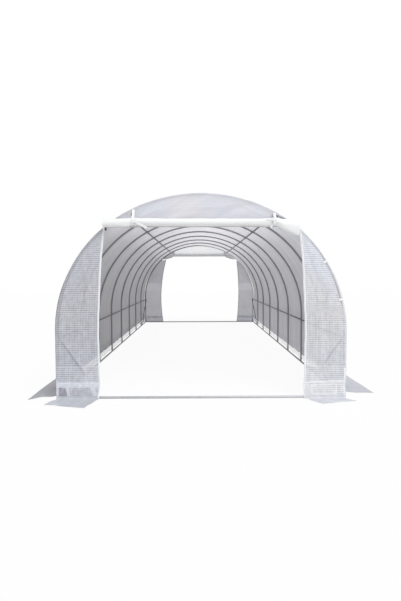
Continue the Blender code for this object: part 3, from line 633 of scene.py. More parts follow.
def plugsAtRailEnds():
    # domed plastic plugs in the open ends of the long rails and purlins
    nets = []
    for name, (start, end, _, bore) in railLines().items():
        if name.startswith(("base_rail", "side_rail", "purlin")):
            profile = [(along, bore * share) for along, share in plugCut["shank"] + plugCut["dome"]]
            for place, way in ((start, -1), (end, 1)):
                seat = np.array(place) - (0, way * plugCut["depth"], 0)
                nets.append(turned(seat, (0, way, 0), profile, 16))
    buildPiece("rail_end_plugs", nets, darkPlastic)


def wingBolt(place, axis):
    # washer and boss, and two flattened, tapering wings that lean outward
    axis = np.asarray(axis, float) / np.linalg.norm(axis)
    side, up = acrossOf(axis)
    nets = [turned(place, axis, boltCut["nut"])]
    forward, sideways, thick = boltCut["wingFlat"]
    for way in (-1, 1):
        line = np.asarray(place) + np.array([axis * a + way * side * b for a, b in boltCut["wing"]])
        across = axis * forward - way * side * sideways
        nets.append(tube(line, across, up * thick, boltCut["wingSizes"], around=8))
    return nets


def footSocket(x, y):
    # a sleeve round the leg's foot and a saddle over the base rail, cut short at the tunnel's ends
    heights, sizes = zip(*socketCut["sleeve"])
    sleeve = np.array([(x, y, z) for z in heights])
    half = np.linspace(-socketCut["wrap"], math.pi + socketCut["wrap"], 15)
    short, long = socketCut["reach"] if abs(y) < halfLength - 0.1 else socketCut["endReach"]
    back, front = (-short, long) if y < 0 else (-long, short)
    outer, inner = socketCut["saddle"]
    saddle = [[(x + size * math.cos(a), y + b, hoop["tube"] + size * math.sin(a)) for a in half]
              for size, b in ((outer, back), (outer, front), (inner, front), (inner, back))]
    return [tube(sleeve, (1, 0, 0), (0, 1, 0), sizes, socketCut["bore"]), net(saddle, ringRows=True)]


def makeFittings():
    # bolts where tubes cross, foot sockets over the base rails, and a screw in each plug joint
    bolts, sockets, braceBolts = [], [], []
    lines = railLines()
    purlin, sideLine = lines["purlin_right"][0], lines["side_rail_right"][0]
    for y in hoopPlaces:
        for hand in (-1, 1):
            x = hand * hoop["halfSpan"]
            inward = np.array([-hand, 0.0, 0.0])
            down = -np.array([hand * boltCut["roofLean"][0], 0, boltCut["roofLean"][1]])
            for line, way in ((sideLine, inward), (purlin, down)):
                bolts += wingBolt(np.array([hand * line[0], y, line[2]]) + way * tubes["rail"][0], way)
            legX = hand * (hoop["halfSpan"] - screwCut["legIn"])
            bolts.append(turned((legX, y, screwCut["legHeight"]), inward, screwCut["leg"]))
            shift = 0.0 if abs(y) < halfLength - 0.1 else -screwCut["footShift"] * np.sign(y)
            place = (x - hand * screwCut["footIn"], y + shift, screwCut["footHeight"])
            bolts.append(turned(place, inward, screwCut["foot"], 6))
            sockets += footSocket(x, y)
    for name, (start, end, _, _) in lines.items():
        if name.startswith("corner_brace"):
            inward = np.array([-np.sign(start[0]), 0.0, 0.0])
            line = np.subtract(start, end)
            for place, way in ((start, 1), (end, -1)):
                middle = np.array(place) - line / np.linalg.norm(line) * (way * boltCut["pinInset"])
                braceBolts += wingBolt(middle + inward * boltCut["pinOut"], inward)
                braceBolts.append(turned(middle, -inward, boltCut["pin"]))
    buildPiece("brace_wing_bolts", braceBolts, darkZinc)
    buildPiece("wing_bolts_and_screws", bolts, zinc)
    buildPiece("foot_sockets", sockets, zinc)


makeHoops()
makeRails()
plugsAtRailEnds()
makeFittings()
print("steel frame made")


# Roof film

roofCut = dict(offset=0.0139, overhang=0.0155, sag=0.012, wallSag=0.006, wallTop=1.7, columns=241, rows=193,
               pull=0.0016, pleatReach=0.16, pleatPitch=0.13, flare=0.008, flareLength=0.3,
               waves=makeWaves(11, 9, 0.35, 1.6), waveHeight=0.0016,
               hem=0.050, hemLap=0.012, hemLift=0.0009, hemSplit=-0.55, hemGrid=(181, 11))


def roofOffset(s, y):
    # how far the film stands out from the hoops' centre line: it dips between hoops, less down the walls,
    # is pleated finely beside each hoop, flares low down at both ends, and wavers a little between hoops
    share = np.mod(y + halfLength, hoop["pitch"]) / hoop["pitch"]
    between = np.where(np.abs(y) < halfLength, np.sin(math.pi * share) ** 2, 0.0)
    wall = smooth((np.abs(s) - roofCut["wallTop"]) / 0.7)
    beside = np.minimum(share, 1 - share)
    pleats = np.exp(-((beside / roofCut["pleatReach"]) ** 2)) * np.minimum(beside / 0.05, 1.0)
    near = np.round((y + halfLength) / hoop["pitch"])
    rows = np.sin(2 * math.pi * (s / roofCut["pleatPitch"] + 0.37 * near))
    pull = pleats * rows * (0.5 + 0.5 * np.sin(5.1 * s + 2.3 * near))
    nearEnd = smooth((np.abs(y) - (halfLength - roofCut["flareLength"])) / roofCut["flareLength"])
    flare = roofCut["flare"] * smooth((np.abs(s) - 1.5) / 0.5) * nearEnd
    dip = roofCut["sag"] + (roofCut["wallSag"] - roofCut["sag"]) * wall
    waver = roofCut["waveHeight"] * waveHeight(roofCut["waves"], s, y) * np.minimum(between * 4, 1.0)
    drawn = roofCut["pull"] * pull * np.minimum(between * 30, 1.0)
    return roofCut["offset"] + flare - dip * between + drawn + waver


def roofPoints(s, y, lift=0.0):
    # the film at s metres from the ridge and y along the tunnel
    s, y = np.broadcast_arrays(s, y)
    x, z, lean = hoopLine(s)
    offset = roofOffset(s, y) + lift
    return np.stack([x + offset * np.sin(lean), y, z + offset * np.cos(lean)], axis=-1)


def makeRoof():
    # the film between the ends, and at each end a hem that laps over it and stands out past the hoop: the
    # hem's left part takes the roof film with its painted shade, the rest a paler film
    reach = hoop["curveLength"] + hoop["haunchCentre"] - hoop["wallFoot"]
    far = halfLength + roofCut["overhang"]
    inner = far - roofCut["hem"]
    wide = roofCut["hem"] + roofCut["hemLap"]
    s = np.linspace(-reach, reach, roofCut["columns"])[None, :]
    y = np.linspace(-inner, inner, roofCut["rows"])[:, None]
    roof = buildSheet("roof_film", [net(roofPoints(s, y))], films["roof"])
    split = roofCut["hemSplit"]
    # painted shade: the left part of each hem takes the roof film with its painted shade, the rest the paler
    # hem film
    parts = dict(left=(-reach, split, films["roof"]), right=(split, reach, films["hem"]))
    hems = []
    for place, (start, end, film) in parts.items():
        along = np.linspace(start, end, roofCut["hemGrid"][0])[:, None]
        across = far - np.linspace(0.0, wide, roofCut["hemGrid"][1])[None, :]
        nets = [net(roofPoints(along, way * across, roofCut["hemLift"]), flip=way < 0) for way in (-1, 1)]
        hem = buildSheet(f"roof_end_hems_{place}", nets, film)
        hems.append(hem)
    for piece in (roof, *hems):
        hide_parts("cover_sheet")


makeRoof()
print("roof film made")


# Ground skirts along both walls

skirtCut = dict(line=[(0.0, 0.203), (0.002, 0.15), (0.004, 0.10), (0.008, 0.06), (0.015, 0.033),
                      (0.027, 0.016), (0.045, 0.006), (0.07, 0.002), (0.12, 0.0016), (0.17, 0.0016),
                      (0.23, 0.0016), (0.29, 0.0016)],
                wall=0.0145, reach=dict(left=1.806, right=1.866), clear=(1.10, 0.30), wallFoot=0.090,
                lap=0.078, apronOut=0.150, apronLap=0.012, ragged=0.004, fold=0.010, wander=0.010,
                bulge=0.0035, stripLift=0.0006, apronLift=0.0005,
                columns=(56, 330, 16, 401), rows=(9, 17, 28))
skirtEnds = {  # how far the sheet stops short of the end hoop, at distances out from the wall
    ("left", "front"): [(0.0, 0.0), (0.006, 0.04), (0.05, 0.10), (0.10, 0.075), (0.16, 0.03), (0.31, -0.045)],
    ("right", "front"): [(0.0, 0.0), (0.006, 0.12), (0.03, 0.24), (0.09, 0.235), (0.18, 0.19), (0.37, 0.175)],
    ("left", "rear"): [(0.0, 0.0), (0.006, 0.02), (0.05, 0.07), (0.17, 0.01), (0.34, -0.04)],
    ("right", "rear"): [(0.0, 0.0), (0.006, 0.02), (0.05, 0.07), (0.17, 0.01), (0.34, -0.04)],
}


def skirtLine(side):
    # the sheet's section as distances out and heights, with the distance along it
    wall = hoop["halfSpan"] + skirtCut["wall"]
    line = np.array([*skirtCut["line"], (skirtCut["reach"][side] - wall, skirtCut["line"][-1][1])])
    return line, np.append(0.0, np.cumsum(np.hypot(*np.diff(line, axis=0).T)))


def skirtPoints(side, hand, share, y):
    # share runs down the sheet's own section and y along the wall; the part on the ground lies in low folds
    # that fade towards the wall, and its outer edge wanders
    line, knots = skirtLine(side)
    at = share * knots[-1]
    out, height = np.interp(at, knots, line[:, 0]), np.interp(at, knots, line[:, 1])
    front, rear = (np.interp(out, *zip(*skirtEnds[side, end])) for end in ("front", "rear"))
    low, high = -halfLength + front, halfLength - rear
    place = low + (high - low) * y
    lying = smooth((at - 0.25) / 0.10)
    folds = np.maximum(waveHeight(makeWaves(21 + hand, 8, 0.25, 1.3, 1.6), at, place), -0.4) + 0.4
    edge = skirtCut["wander"] * smooth((at - 0.4) / 0.12) * np.sin(place * 3.1 + hand) * np.sin(place * 1.3)
    lift = skirtCut["fold"] * lying * folds * (0.25 + 0.75 * smooth((knots[-1] - 0.01 - at) / 0.08))
    bumps = waveHeight(makeWaves(25 + hand, 6, 0.15, 0.7, 2.0), place, at)
    bulge = skirtCut["bulge"] * (1 - lying) * bumps * smooth(at / 0.05)
    x = hand * (hoop["halfSpan"] + skirtCut["wall"] + out + edge + bulge)
    return np.stack(np.broadcast_arrays(x, place, height + lift), axis=-1)


def makeSkirts():
    # the wall's film runs on to a ragged edge, a clear strip is welded below it, and the apron lies
    # outside. Near the ends of the tunnel the apron itself comes up to the wall
    far = 2 * halfLength
    frontStations, clearStations, rearStations, stations = skirtCut["columns"]
    footRows, clearRows, apronRows = (np.linspace(0, 1, count)[:, None] for count in skirtCut["rows"])
    for side, hand in handOf.items():
        line, knots = skirtLine(side)
        wide = float(knots[-1])
        foot, lap = skirtCut["wallFoot"] / wide, skirtCut["lap"] / wide
        apron = float(np.interp(skirtCut["apronOut"], line[:, 0], knots)) / wide
        y = np.linspace(0, 1, stations)[None, :]
        front, rear = (a / far for a in skirtCut["clear"])
        ragged = skirtCut["ragged"] * np.sin(97 * y) * np.sin(41 * y + hand) / wide
        upper = skirtPoints(side, hand, footRows * (foot + ragged), y)
        down = lap + (apron + skirtCut["apronLap"] / wide - lap) * clearRows
        parts = (0, front, frontStations), (front, 1 - rear, clearStations), (1 - rear, 1, rearStations)
        nearFront, middle, nearRear = (skirtPoints(side, hand, down, np.linspace(*part)[None, :])
                                       for part in parts)
        lower = skirtPoints(side, hand, apron + (1 - apron) * apronRows, y)
        outward = np.array([hand * skirtCut["stripLift"], 0, 0])
        nets = [net(part, flip=hand > 0)
                for part in (nearFront + outward, nearRear + outward, lower + (0, 0, skirtCut["apronLift"]))]
        footPiece = buildSheet(f"wall_foot_film_{side}", [net(upper, flip=hand > 0)], films["roof"])
        clear = net(middle + outward, flip=hand > 0)
        strip = buildSheet(f"skirt_clear_strip_{side}", [clear], films["clear"])
        apronPiece = buildSheet(f"skirt_film_{side}", nets, films[side + "Skirt"])
        for piece in (footPiece, strip, apronPiece):
            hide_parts(f"skirt_{side}")


makeSkirts()
print("skirts made")


# End films. Distances out are from the end hoop's middle plane.

endCut = dict(face=0.0142, rim=0.0113, legLap=0.007, footLap=0.004, footTop=0.34, panelRows=(26, 130),
              columns=73, waveHeight=0.0016, foldHeight=0.006, footFold=0.0020)
flapCut = dict(bendShare=0.18, bendOut=0.022, startOut=0.036, low=0.0014, fold=0.006, rows=26)
gableCut = dict(inset=0.010, seamGap=0.0012, bulge=0.0035, waveHeight=0.0016, grid=(181, 41))
# Soft ridges from one place (distance from the axis, height) to another, with their width and height
gableCreases = [
    ((-0.66, 1.865), (-0.36, 1.985), 0.018, 0.0035), ((-0.52, 1.850), (0.12, 1.925), 0.022, 0.003),
    ((-0.10, 1.960), (0.42, 2.010), 0.020, 0.003), ((0.66, 1.880), (0.38, 2.020), 0.018, 0.0035),
    ((0.30, 1.830), (0.02, 1.900), 0.025, 0.0025)]
creases = {
    ("front", "right"): [
        ((1.385, 1.260), (1.270, 0.950), 0.016, 0.009), ((1.455, 1.050), (1.300, 0.740), 0.018, 0.010),
        ((1.480, 0.700), (1.205, 0.310), 0.018, 0.016), ((1.470, 0.560), (1.290, 0.290), 0.014, 0.006),
        ((1.075, 0.380), (1.235, 0.290), 0.010, 0.005), ((1.206, 1.240), (1.196, 0.360), 0.016, 0.007),
        ((1.330, 1.250), (1.290, 0.720), 0.020, 0.006)],
    ("front", "left"): [
        ((1.220, 1.520), (1.180, 1.220), 0.016, 0.008), ((1.225, 1.260), (1.205, 0.740), 0.018, -0.009),
        ((1.330, 1.250), (1.270, 0.760), 0.024, 0.006), ((1.450, 0.640), (1.170, 0.230), 0.018, 0.009)],
}
rimGaps = {  # how far a panel's edge stands in from the hoop, at heights
    ("front", "right"): [(0.82, 0.0), (1.00, 0.024), (1.60, 0.026), (1.735, 0.024)],
}


def endFold(key, u, z, top):
    # soft upright folds and a waver that fade out at the rim, at the zip, at the foot and at the top
    seed = 31 + 7 * len(key[0]) + 3 * len(key[1])
    waves = makeWaves(seed, 8, 0.10, 0.75, 0.6)
    fade = smooth((z - 0.04) / 0.25) * smooth((top - z) / 0.25)
    middle = np.sin(math.pi * np.clip(u, 0, 1))
    folds = (0.55 + 0.45 * np.sin(2 * math.pi * (1.6 * u + 0.25 * z) + seed)) * middle
    nearFoot = smooth((0.35 - z) / 0.2) * smooth((z - 0.02) / 0.05)
    low = nearFoot * endCut["footFold"] * np.sin(2 * math.pi * (u * 4.5 + z * 3 + seed))
    waver = endCut["waveHeight"] * waveHeight(waves, u * 0.5, z)
    return (endCut["foldHeight"] * folds + waver) * fade * middle**0.7 + low


def creaseHeight(ridges, x, z):
    # the ridges added up: each is bell shaped across and fades out at both ends
    total = 0.0
    for start, end, wide, high in ridges:
        way = np.subtract(end, start)
        along = ((x - start[0]) * way[0] + (z - start[1]) * way[1]) / (way @ way)
        across = ((x - start[0]) * way[1] - (z - start[1]) * way[0]) / np.hypot(*way)
        total = total + high * np.exp(-((across / wide) ** 2)) * smooth(along * 3) * smooth((1 - along) * 3)
    return total


def panelRim(z):
    # the film's outer edge: inside the hoop's outline, and lapped over the leg near the ground
    lap = endCut["legLap"] * smooth((1.1 - z) / 0.4) + endCut["footLap"] * smooth((0.26 - z) / 0.08)
    return rimWidth(z, endCut["rim"]) + lap


def panelPoints(name, side, u, z, lift=0.0):
    # the upright part of a side panel: u runs from the zip to the rim
    end = ends[name]
    inner = zipX(end["zips"][side], z)
    gap = rimGaps.get((name, side), [(0.0, 0.0)])
    outer = panelRim(z) - np.interp(z, *zip(*gap))
    x = inner + (outer - inner) * u
    ridges = creaseHeight(creases.get((name, side), []), x, z)
    out = endCut["face"] + endFold((name, side), u, z, end["zips"][side][0][1]) + ridges + lift
    return atEnd(end["turn"], handOf[side] * x, out, z)


def panelUAt(name, side, x, z):
    # the panel's own u at a distance x from the tunnel's axis
    inner = zipX(ends[name]["zips"][side], z)
    return (x - inner) / (panelRim(z) - inner)


def flapPoints(name, side, u, v):
    # the panel's foot: v runs from the upright film through a bend to the edge of the flap on the ground
    end = ends[name]
    (nearX, nearOut), (farX, farOut) = end["flaps"][side]
    inner, outer = zipX(end["zips"][side], groundZ), panelRim(groundZ)
    start = inner + (outer - inner) * u
    beyond = (v - flapCut["bendShare"]) / (1 - flapCut["bendShare"])
    reach = smooth(beyond) * 0.35 + 0.65 * np.clip(beyond, 0, 1)
    x = start + (nearX + (farX - nearX) * u - start) * reach
    bend = np.clip(v / flapCut["bendShare"], 0, 1) * math.pi / 2
    out = endCut["face"] + flapCut["bendOut"] * (1 - np.cos(bend))
    out = out + (nearOut + (farOut - nearOut) * u - flapCut["startOut"]) * reach
    waves = makeWaves(61 + len(name) + len(side), 7, 0.12, 0.5)
    low = flapCut["low"] + (groundZ - flapCut["low"]) * (1 - np.sin(bend))
    lift = flapCut["fold"] * smooth((v - 0.2) / 0.2) * (0.3 + 0.7 * smooth((1 - v) / 0.3))
    height = low + lift * (np.maximum(waveHeight(waves, x, out), -0.5) + 0.5)
    return atEnd(end["turn"], handOf[side] * x, out, height)


def makePanel(name, side):
    # the upright film in two pieces, and the flap that carries on from its foot
    end = ends[name]
    top = end["zips"][side][0][1]
    place, flip = sideInFrame(side, end["turn"]), handOf[side] < 0
    low, high = endCut["panelRows"]
    u = np.linspace(0, 1, endCut["columns"])[None, :]
    z = np.concatenate([np.linspace(groundZ, 0.3, low)[:-1], np.linspace(0.3, top, high)])[:, None]
    v = np.linspace(1, 0, flapCut["rows"])[:-1, None]
    upright = panelPoints(name, side, u, z)
    lying = np.concatenate([flapPoints(name, side, u, v), upright[:1]])
    split = int(np.argmax(z[:, 0] >= endCut["footTop"]))
    film = films["rear" + place.title() if name == "rear" else side + "Panel"]
    footFilm = film if name == "rear" else films[side + "Foot"]
    panel = buildSheet(f"{name}_panel_film_{place}", [net(upright[split:], flip=flip)], film)
    foot = buildSheet(f"{name}_panel_foot_film_{place}", [net(upright[: split + 1], flip=flip)], footFilm)
    flap = buildSheet(f"{name}_flap_film_{place}", [net(lying, flip=flip)], films[place + "Flap"])
    for piece in (panel, foot, flap):
        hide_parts(f"{name}_panel_{place}")
    widths = rimWidth(z[:, 0], endCut["rim"]) - zipX(end["zips"][side], z[:, 0])
    parts = (panel, slice(split, None), "roof_film"), (foot, slice(0, split + 1), panel.name)


# Welded strips low on the panels: start and end (distance from the axis, height) and width
lowStrips = {
    ("front", "left"): [((1.058, 0.150), (1.500, 0.148), 0.056), ((1.497, 0.195), (1.497, 0.032), 0.024),
                        ((1.405, 0.160), (1.379, 0.032), 0.034), ((1.150, 0.150), (1.105, 0.032), 0.045)],
    ("front", "right"): [((1.076, 0.166), (1.280, 0.176), 0.016), ((1.280, 0.176), (1.500, 0.182), 0.018),
                         ((1.145, 0.046), (1.412, 0.044), 0.013), ((1.130, 0.135), (1.412, 0.150), 0.013),
                         ((1.152, 0.150), (1.152, 0.040), 0.022), ((1.408, 0.160), (1.408, 0.034), 0.017),
                         ((1.494, 0.320), (1.494, 0.034), 0.018)],
    ("rear", "left"): [((1.055, 0.150), (1.498, 0.150), 0.050), ((1.466, 0.140), (1.466, 0.034), 0.024)],
    ("rear", "right"): [((1.020, 0.150), (1.498, 0.150), 0.050), ((1.466, 0.140), (1.466, 0.034), 0.024)],
}
lowPatches = dict(left=[((1.395, 0.078), (1.490, 0.078), 0.092, "darkPatch"),
                        ((1.110, 0.078), (1.394, 0.078), 0.092, "patch")],
                  right=[((1.085, 0.098), (1.498, 0.102), 0.132, "palePatch")])
stripCut = dict(step=0.012, lift=0.0004, thick=0.0011, ragged=0.003, patchThick=0.0005, patchRagged=0.001,
                lowest=0.031, rimGap=0.0005, flatWidth=0.05)


def stripOn(name, side, start, end, wide, thick=stripCut["thick"], ragged=stripCut["ragged"]):
    # a strip welded onto a panel between two places, with edges that thin to the film and wander a little
    start, end = np.array(start, float), np.array(end, float)
    length = float(np.hypot(*(end - start)))
    along = np.linspace(0, 1, max(8, int(length / stripCut["step"])))[None, :]
    across = np.linspace(-0.5, 0.5, 7)[:, None]
    normal = np.array([-(end - start)[1], (end - start)[0]]) / length
    wander = ragged * np.sin(along * length * 55 + 3 * start[0]) * np.sin(along * length * 23 + across)
    width = wide * across + wander * np.abs(across) * 2
    x = start[0] + (end - start)[0] * along + normal[0] * width
    z = np.clip(start[1] + (end - start)[1] * along + normal[1] * width, stripCut["lowest"], None)
    x = np.minimum(x, panelRim(z) - stripCut["rimGap"])
    inside = (np.abs(across) < 0.45) & (along > 0) & (along < 1)
    points = panelPoints(name, side, panelUAt(name, side, x, z), z, stripCut["lift"] + thick * inside)
    return net(points, flip=handOf[side] < 0)


def makeStrips(name, side):
    # the welded bands low on a panel, and at the front the second layer of film below them
    place = sideInFrame(side, ends[name]["turn"])
    nets = [stripOn(name, side, *strip) for strip in lowStrips[name, side]]
    film = films[dict(rear="band", front="lowBand" if side == "left" else "whiteBand")[name]]
    strips = buildSheet(f"{name}_low_strips_{place}", nets, film)
    for number, (a, b, wide, kind) in enumerate(lowPatches[side] if name == "front" else [], start=1):
        layer = stripOn(name, side, a, b, wide, stripCut["patchThick"], stripCut["patchRagged"])
        patch = buildSheet(f"{name}_low_patch_{place}_{number}", [layer], films[kind])


def makeGable(name):
    # the half moon over the door: rows from the seam to the arch, with long shallow wrinkles from its corners
    end = ends[name]
    reach = float(rimWidth(end["seam"], endCut["rim"])) - gableCut["inset"]
    x = np.linspace(-reach, reach, gableCut["grid"][0])[None, :]
    v = np.linspace(0, 1, gableCut["grid"][1])[:, None]
    high = rimHeight(x, endCut["rim"]) - end["seam"]
    z = end["seam"] + gableCut["seamGap"] + (high - gableCut["seamGap"]) * v
    waves = makeWaves(71 + len(name), 8, 0.10, 0.9, 0.5)
    edge = (np.sin(math.pi * v) * np.sin(math.pi * (x + reach) / (2 * reach))) ** 0.6
    waver = gableCut["waveHeight"] * waveHeight(waves, x * 0.5, z * 1.4)
    out = endCut["face"] + edge * (gableCut["bulge"] + waver + creaseHeight(gableCreases, x, z))
    film = films["gable" if name == "front" else "rearGable"]
    gable = buildSheet(f"{name}_gable_film", [net(atEnd(end["turn"], x, out, z))], film)
    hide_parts(f"{name}_gable")


for name in ends:
    makeGable(name)
    for side in handOf:
        makePanel(name, side)
        makeStrips(name, side)
print("end films made")


# Door curtains: the roll, the part that hangs above it, straps and zips

rollCut = dict(radius=0.0435, thin=0.0030, slack=0.0012, sag=0.004, core=0.016, turns=6.8, back=0.036,
               seat=0.036, pinch=0.0050, pull=0.040, nearStrap=0.11, atStrap=0.017,
               startAngle=math.radians(240), stations=190, around=22, crumple=0.0022, rope=0.0032,
               telescope=0.006)
rollCut["out"] = rollCut["back"] + rollCut["radius"]


def rollSize(name, x):
    # the roll's outer radius: fuller towards its ends, drawn in under the straps, slack between them
    size = rollCut["radius"] - rollCut["thin"] * smooth((0.72 - np.abs(x)) / 0.15)
    size = size - rollCut["slack"] * (0.5 - 0.5 * np.cos(7 * x))
    for strapX, _ in ends[name]["straps"].values():
        beside = np.maximum(0.0, np.abs(x - strapX) - rollCut["seat"] / 2)
        drawn = np.exp(-((beside / rollCut["pull"]) ** 2))
        size = size + (rollCut["radius"] - rollCut["pinch"] - size) * drawn
    return size


def rollBeyond(name, x, depths):
    # grows from nothing at each strap to its side's depth at the roll's end
    end = ends[name]
    total = 0.0
    for side, hand in handOf.items():
        strapX = end["straps"][side][0]
        tip = end["rollEnds"][hand > 0]
        beyond = np.clip((hand * (x - strapX) - rollCut["seat"] / 2) / (hand * (tip - strapX)), 0, 1)
        total = total + depths[hand > 0] * np.sin(beyond * math.pi / 2) ** 0.7
    return total


def rollMiddle(name, x):
    # height of the roll's middle: its top is level between the straps and sinks outside them
    between = rollCut["sag"] * smooth((0.70 - np.abs(x - 0.06)) / 0.35)
    return ends[name]["rollTop"] - rollSize(name, x) - between - rollBeyond(name, x, ends[name]["sags"])


def makeRoll(name):
    # one sheet wound inwards: the angle runs on from turn to turn while the radius shrinks evenly; every
    # layer takes the same crumples, and the layers below the middle hang lower where the film is loose
    end = ends[name]
    left, right = end["rollEnds"]
    angle = np.linspace(0, rollCut["turns"] * 2 * math.pi, int(rollCut["turns"] * rollCut["around"]))[None, :]
    x = np.linspace(left, right, rollCut["stations"])[:, None]
    shrink = 1 - angle / angle.max() * (1 - rollCut["core"] / rollCut["radius"])
    turn = rollCut["startAngle"] + angle
    strapsX = [place for place, _ in end["straps"].values()]
    nearStrap = sum(np.exp(-((np.abs(x - place) / rollCut["nearStrap"]) ** 2)) for place in strapsX)
    free = 1 - sum(np.exp(-(((x - place) / rollCut["atStrap"]) ** 4)) for place in strapsX)
    waves = makeWaves(81 + len(name), 9, 0.05, 0.30, 0.5)
    crumple = rollCut["crumple"] * waveHeight(waves, x, 0.05 * np.sin(turn) + 0.03 * np.cos(2 * turn))
    ropes = rollCut["rope"] * np.sin(3 * turn + 9 * np.abs(x)) * np.sin(5 * turn + 4.0)
    crumple = (crumple * (0.5 + 0.9 * nearStrap) + ropes * nearStrap) * free
    radius = (rollSize(name, x) + crumple) * shrink
    droop = rollBeyond(name, x, end["droops"]) * shrink**1.3
    below = np.maximum(0.0, -np.sin(turn))
    narrow = 1 - np.minimum(0.6, 6 * droop) * below**2
    out = rollCut["out"] + radius * np.cos(turn) * narrow
    z = rollMiddle(name, x) + radius * np.sin(turn) - droop * below**1.5
    edge = np.where(x < (left + right) / 2, left, right)
    nearTip = np.exp(-np.abs(x - edge) / 0.05)
    uneven = 1 + np.sin(2.3 * angle + 1) * np.sin(0.61 * angle)
    along = x - np.sign(edge) * nearTip * rollCut["telescope"] * uneven
    roll = buildSheet(f"{name}_roll_film", [net(atEnd(end["turn"], along, out, z), flip=True)], curtain,
                      f"{name}_door")
    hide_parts(f"{name}_door_roll")


headerCut = dict(grid=(61, 141), seamGap=0.001, footGap=0.0006, zipGap=0.016, rimGap=0.004, rollGap=0.008,
                 fold=0.0014, flatWidth=1.99)


def makeHeader(name):
    # the curtain between the gable's seam and the roll. As the door comes down it is drawn out to the whole
    # curtain, so each row already has the width that the doorway has where that row ends up
    end = ends[name]
    seam, foot = end["seam"], end["headerFoot"]
    t = np.linspace(0, 1, headerCut["grid"][0])[:, None]
    z = seam + headerCut["seamGap"] + (foot - headerCut["footGap"] - seam - headerCut["seamGap"]) * t
    moved = smooth((seam - z) / (seam - foot))
    final = np.maximum(z - end["travel"] * moved, groundZ)
    rim = rimWidth(seam, endCut["rim"]) - headerCut["rimGap"]
    widths = {}
    for side, hand in handOf.items():
        line = end["zips"][side]
        wide = zipX(line, np.minimum(final, line[0][1])) - headerCut["zipGap"]
        wide = np.where(moved < 0.04, np.minimum(wide, rim), wide)
        widths[side] = np.minimum(wide, abs(end["rollEnds"][hand > 0]) - headerCut["rollGap"])
    k = np.linspace(0, 1, headerCut["grid"][1])[None, :]
    x = -widths["left"] + (widths["left"] + widths["right"]) * k
    footOut = rollCut["out"] + rollCut["radius"] * math.cos(rollCut["startAngle"])
    out = endCut["face"] + (footOut - endCut["face"]) * t**1.3
    folds = makeWaves(91 + len(name), 7, 0.07, 0.40) * np.array([1, 0, 1, 1])
    out = out + headerCut["fold"] * waveHeight(folds, x, 0 * z) * np.sin(math.pi * t) ** 0.5
    points = atEnd(end["turn"], x, out, z)
    header = buildSheet(f"{name}_header_film", [net(points, flip=True)], hanging, body=None)
    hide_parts(f"{name}_door_header")
    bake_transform(header)


strapCut = dict(thick=0.0016, wide=0.026, gap=0.0016, eye=0.0035, eyeOut=0.012, keep=0.12,
                tailHalf=0.0115, tailThick=0.0009, tailOut=0.0040, tailBow=0.003, tailSway=0.002,
                knot=[(-0.009, 0.002), (-0.007, 0.007), (0.0, 0.0085), (0.007, 0.007), (0.009, 0.002)],
                knotOut=0.004, knotUp=0.014)
strapTails = {  # two loose ends at each strap, as places (distance from the axis, height) over the roll
    ("front", "left"): [[(-0.672, 1.832), (-0.642, 1.818), (-0.545, 1.764)],
                        [(-0.680, 1.830), (-0.688, 1.792)]],
    ("front", "right"): [[(0.742, 1.826), (0.722, 1.842), (0.655, 1.838)],
                         [(0.742, 1.822), (0.728, 1.800), (0.705, 1.765)]],
    ("rear", "left"): [[(-0.742, 1.868), (-0.748, 1.835), (-0.756, 1.788)],
                       [(-0.738, 1.868), (-0.728, 1.810)]],
    ("rear", "right"): [[(0.742, 1.868), (0.750, 1.835), (0.760, 1.785)],
                        [(0.738, 1.868), (0.728, 1.815)]],
}


def beltLine(low, lowSize, high, highSize, steps=40):
    # the line of a belt pulled round two circles, as distance out and height
    gap = np.subtract(high, low)
    lean, wrap = math.atan2(gap[1], gap[0]), math.acos((lowSize - highSize) / np.hypot(*gap))
    a = lean + np.linspace(wrap, 2 * math.pi - wrap, steps)
    b = lean + np.linspace(-wrap, wrap, 9)
    lower = np.stack([low[0] + lowSize * np.cos(a), low[1] + lowSize * np.sin(a)], axis=1)
    upper = np.stack([high[0] + highSize * np.cos(b), high[1] + highSize * np.sin(b)], axis=1)
    return np.concatenate([lower, upper])


def strapTail(name, line, size, middleOut):
    # a loose end of webbing: a flattened ribbon along the line, lying on the roll
    turn = ends[name]["turn"]
    t = np.linspace(0, 1, 18)
    knots = np.linspace(0, 1, len(line))
    x = np.interp(t, knots, [p[0] for p in line]) + strapCut["tailSway"] * np.sin(7 * t)
    z = np.interp(t, knots, [p[1] for p in line])
    bulge = np.sqrt(np.maximum(size**2 - (z - rollMiddle(name, x)) ** 2, (0.45 * size) ** 2))
    out = middleOut + bulge + strapCut["tailOut"] + strapCut["tailBow"] * np.sin(math.pi * t)
    way = np.array([np.gradient(x), np.gradient(z)]) / np.hypot(np.gradient(x), np.gradient(z))
    half, thick = strapCut["tailHalf"], strapCut["tailThick"]
    lines = [atEnd(turn, x - way[1] * a * half, out + b * thick, z + way[0] * a * half)
             for a, b in ((-1, 0), (-0.3, 1), (0.3, 1), (1, 0), (0.3, -1), (-0.3, -1))]
    return net(np.array(lines).transpose(1, 0, 2), ringColumns=True, caps=True)


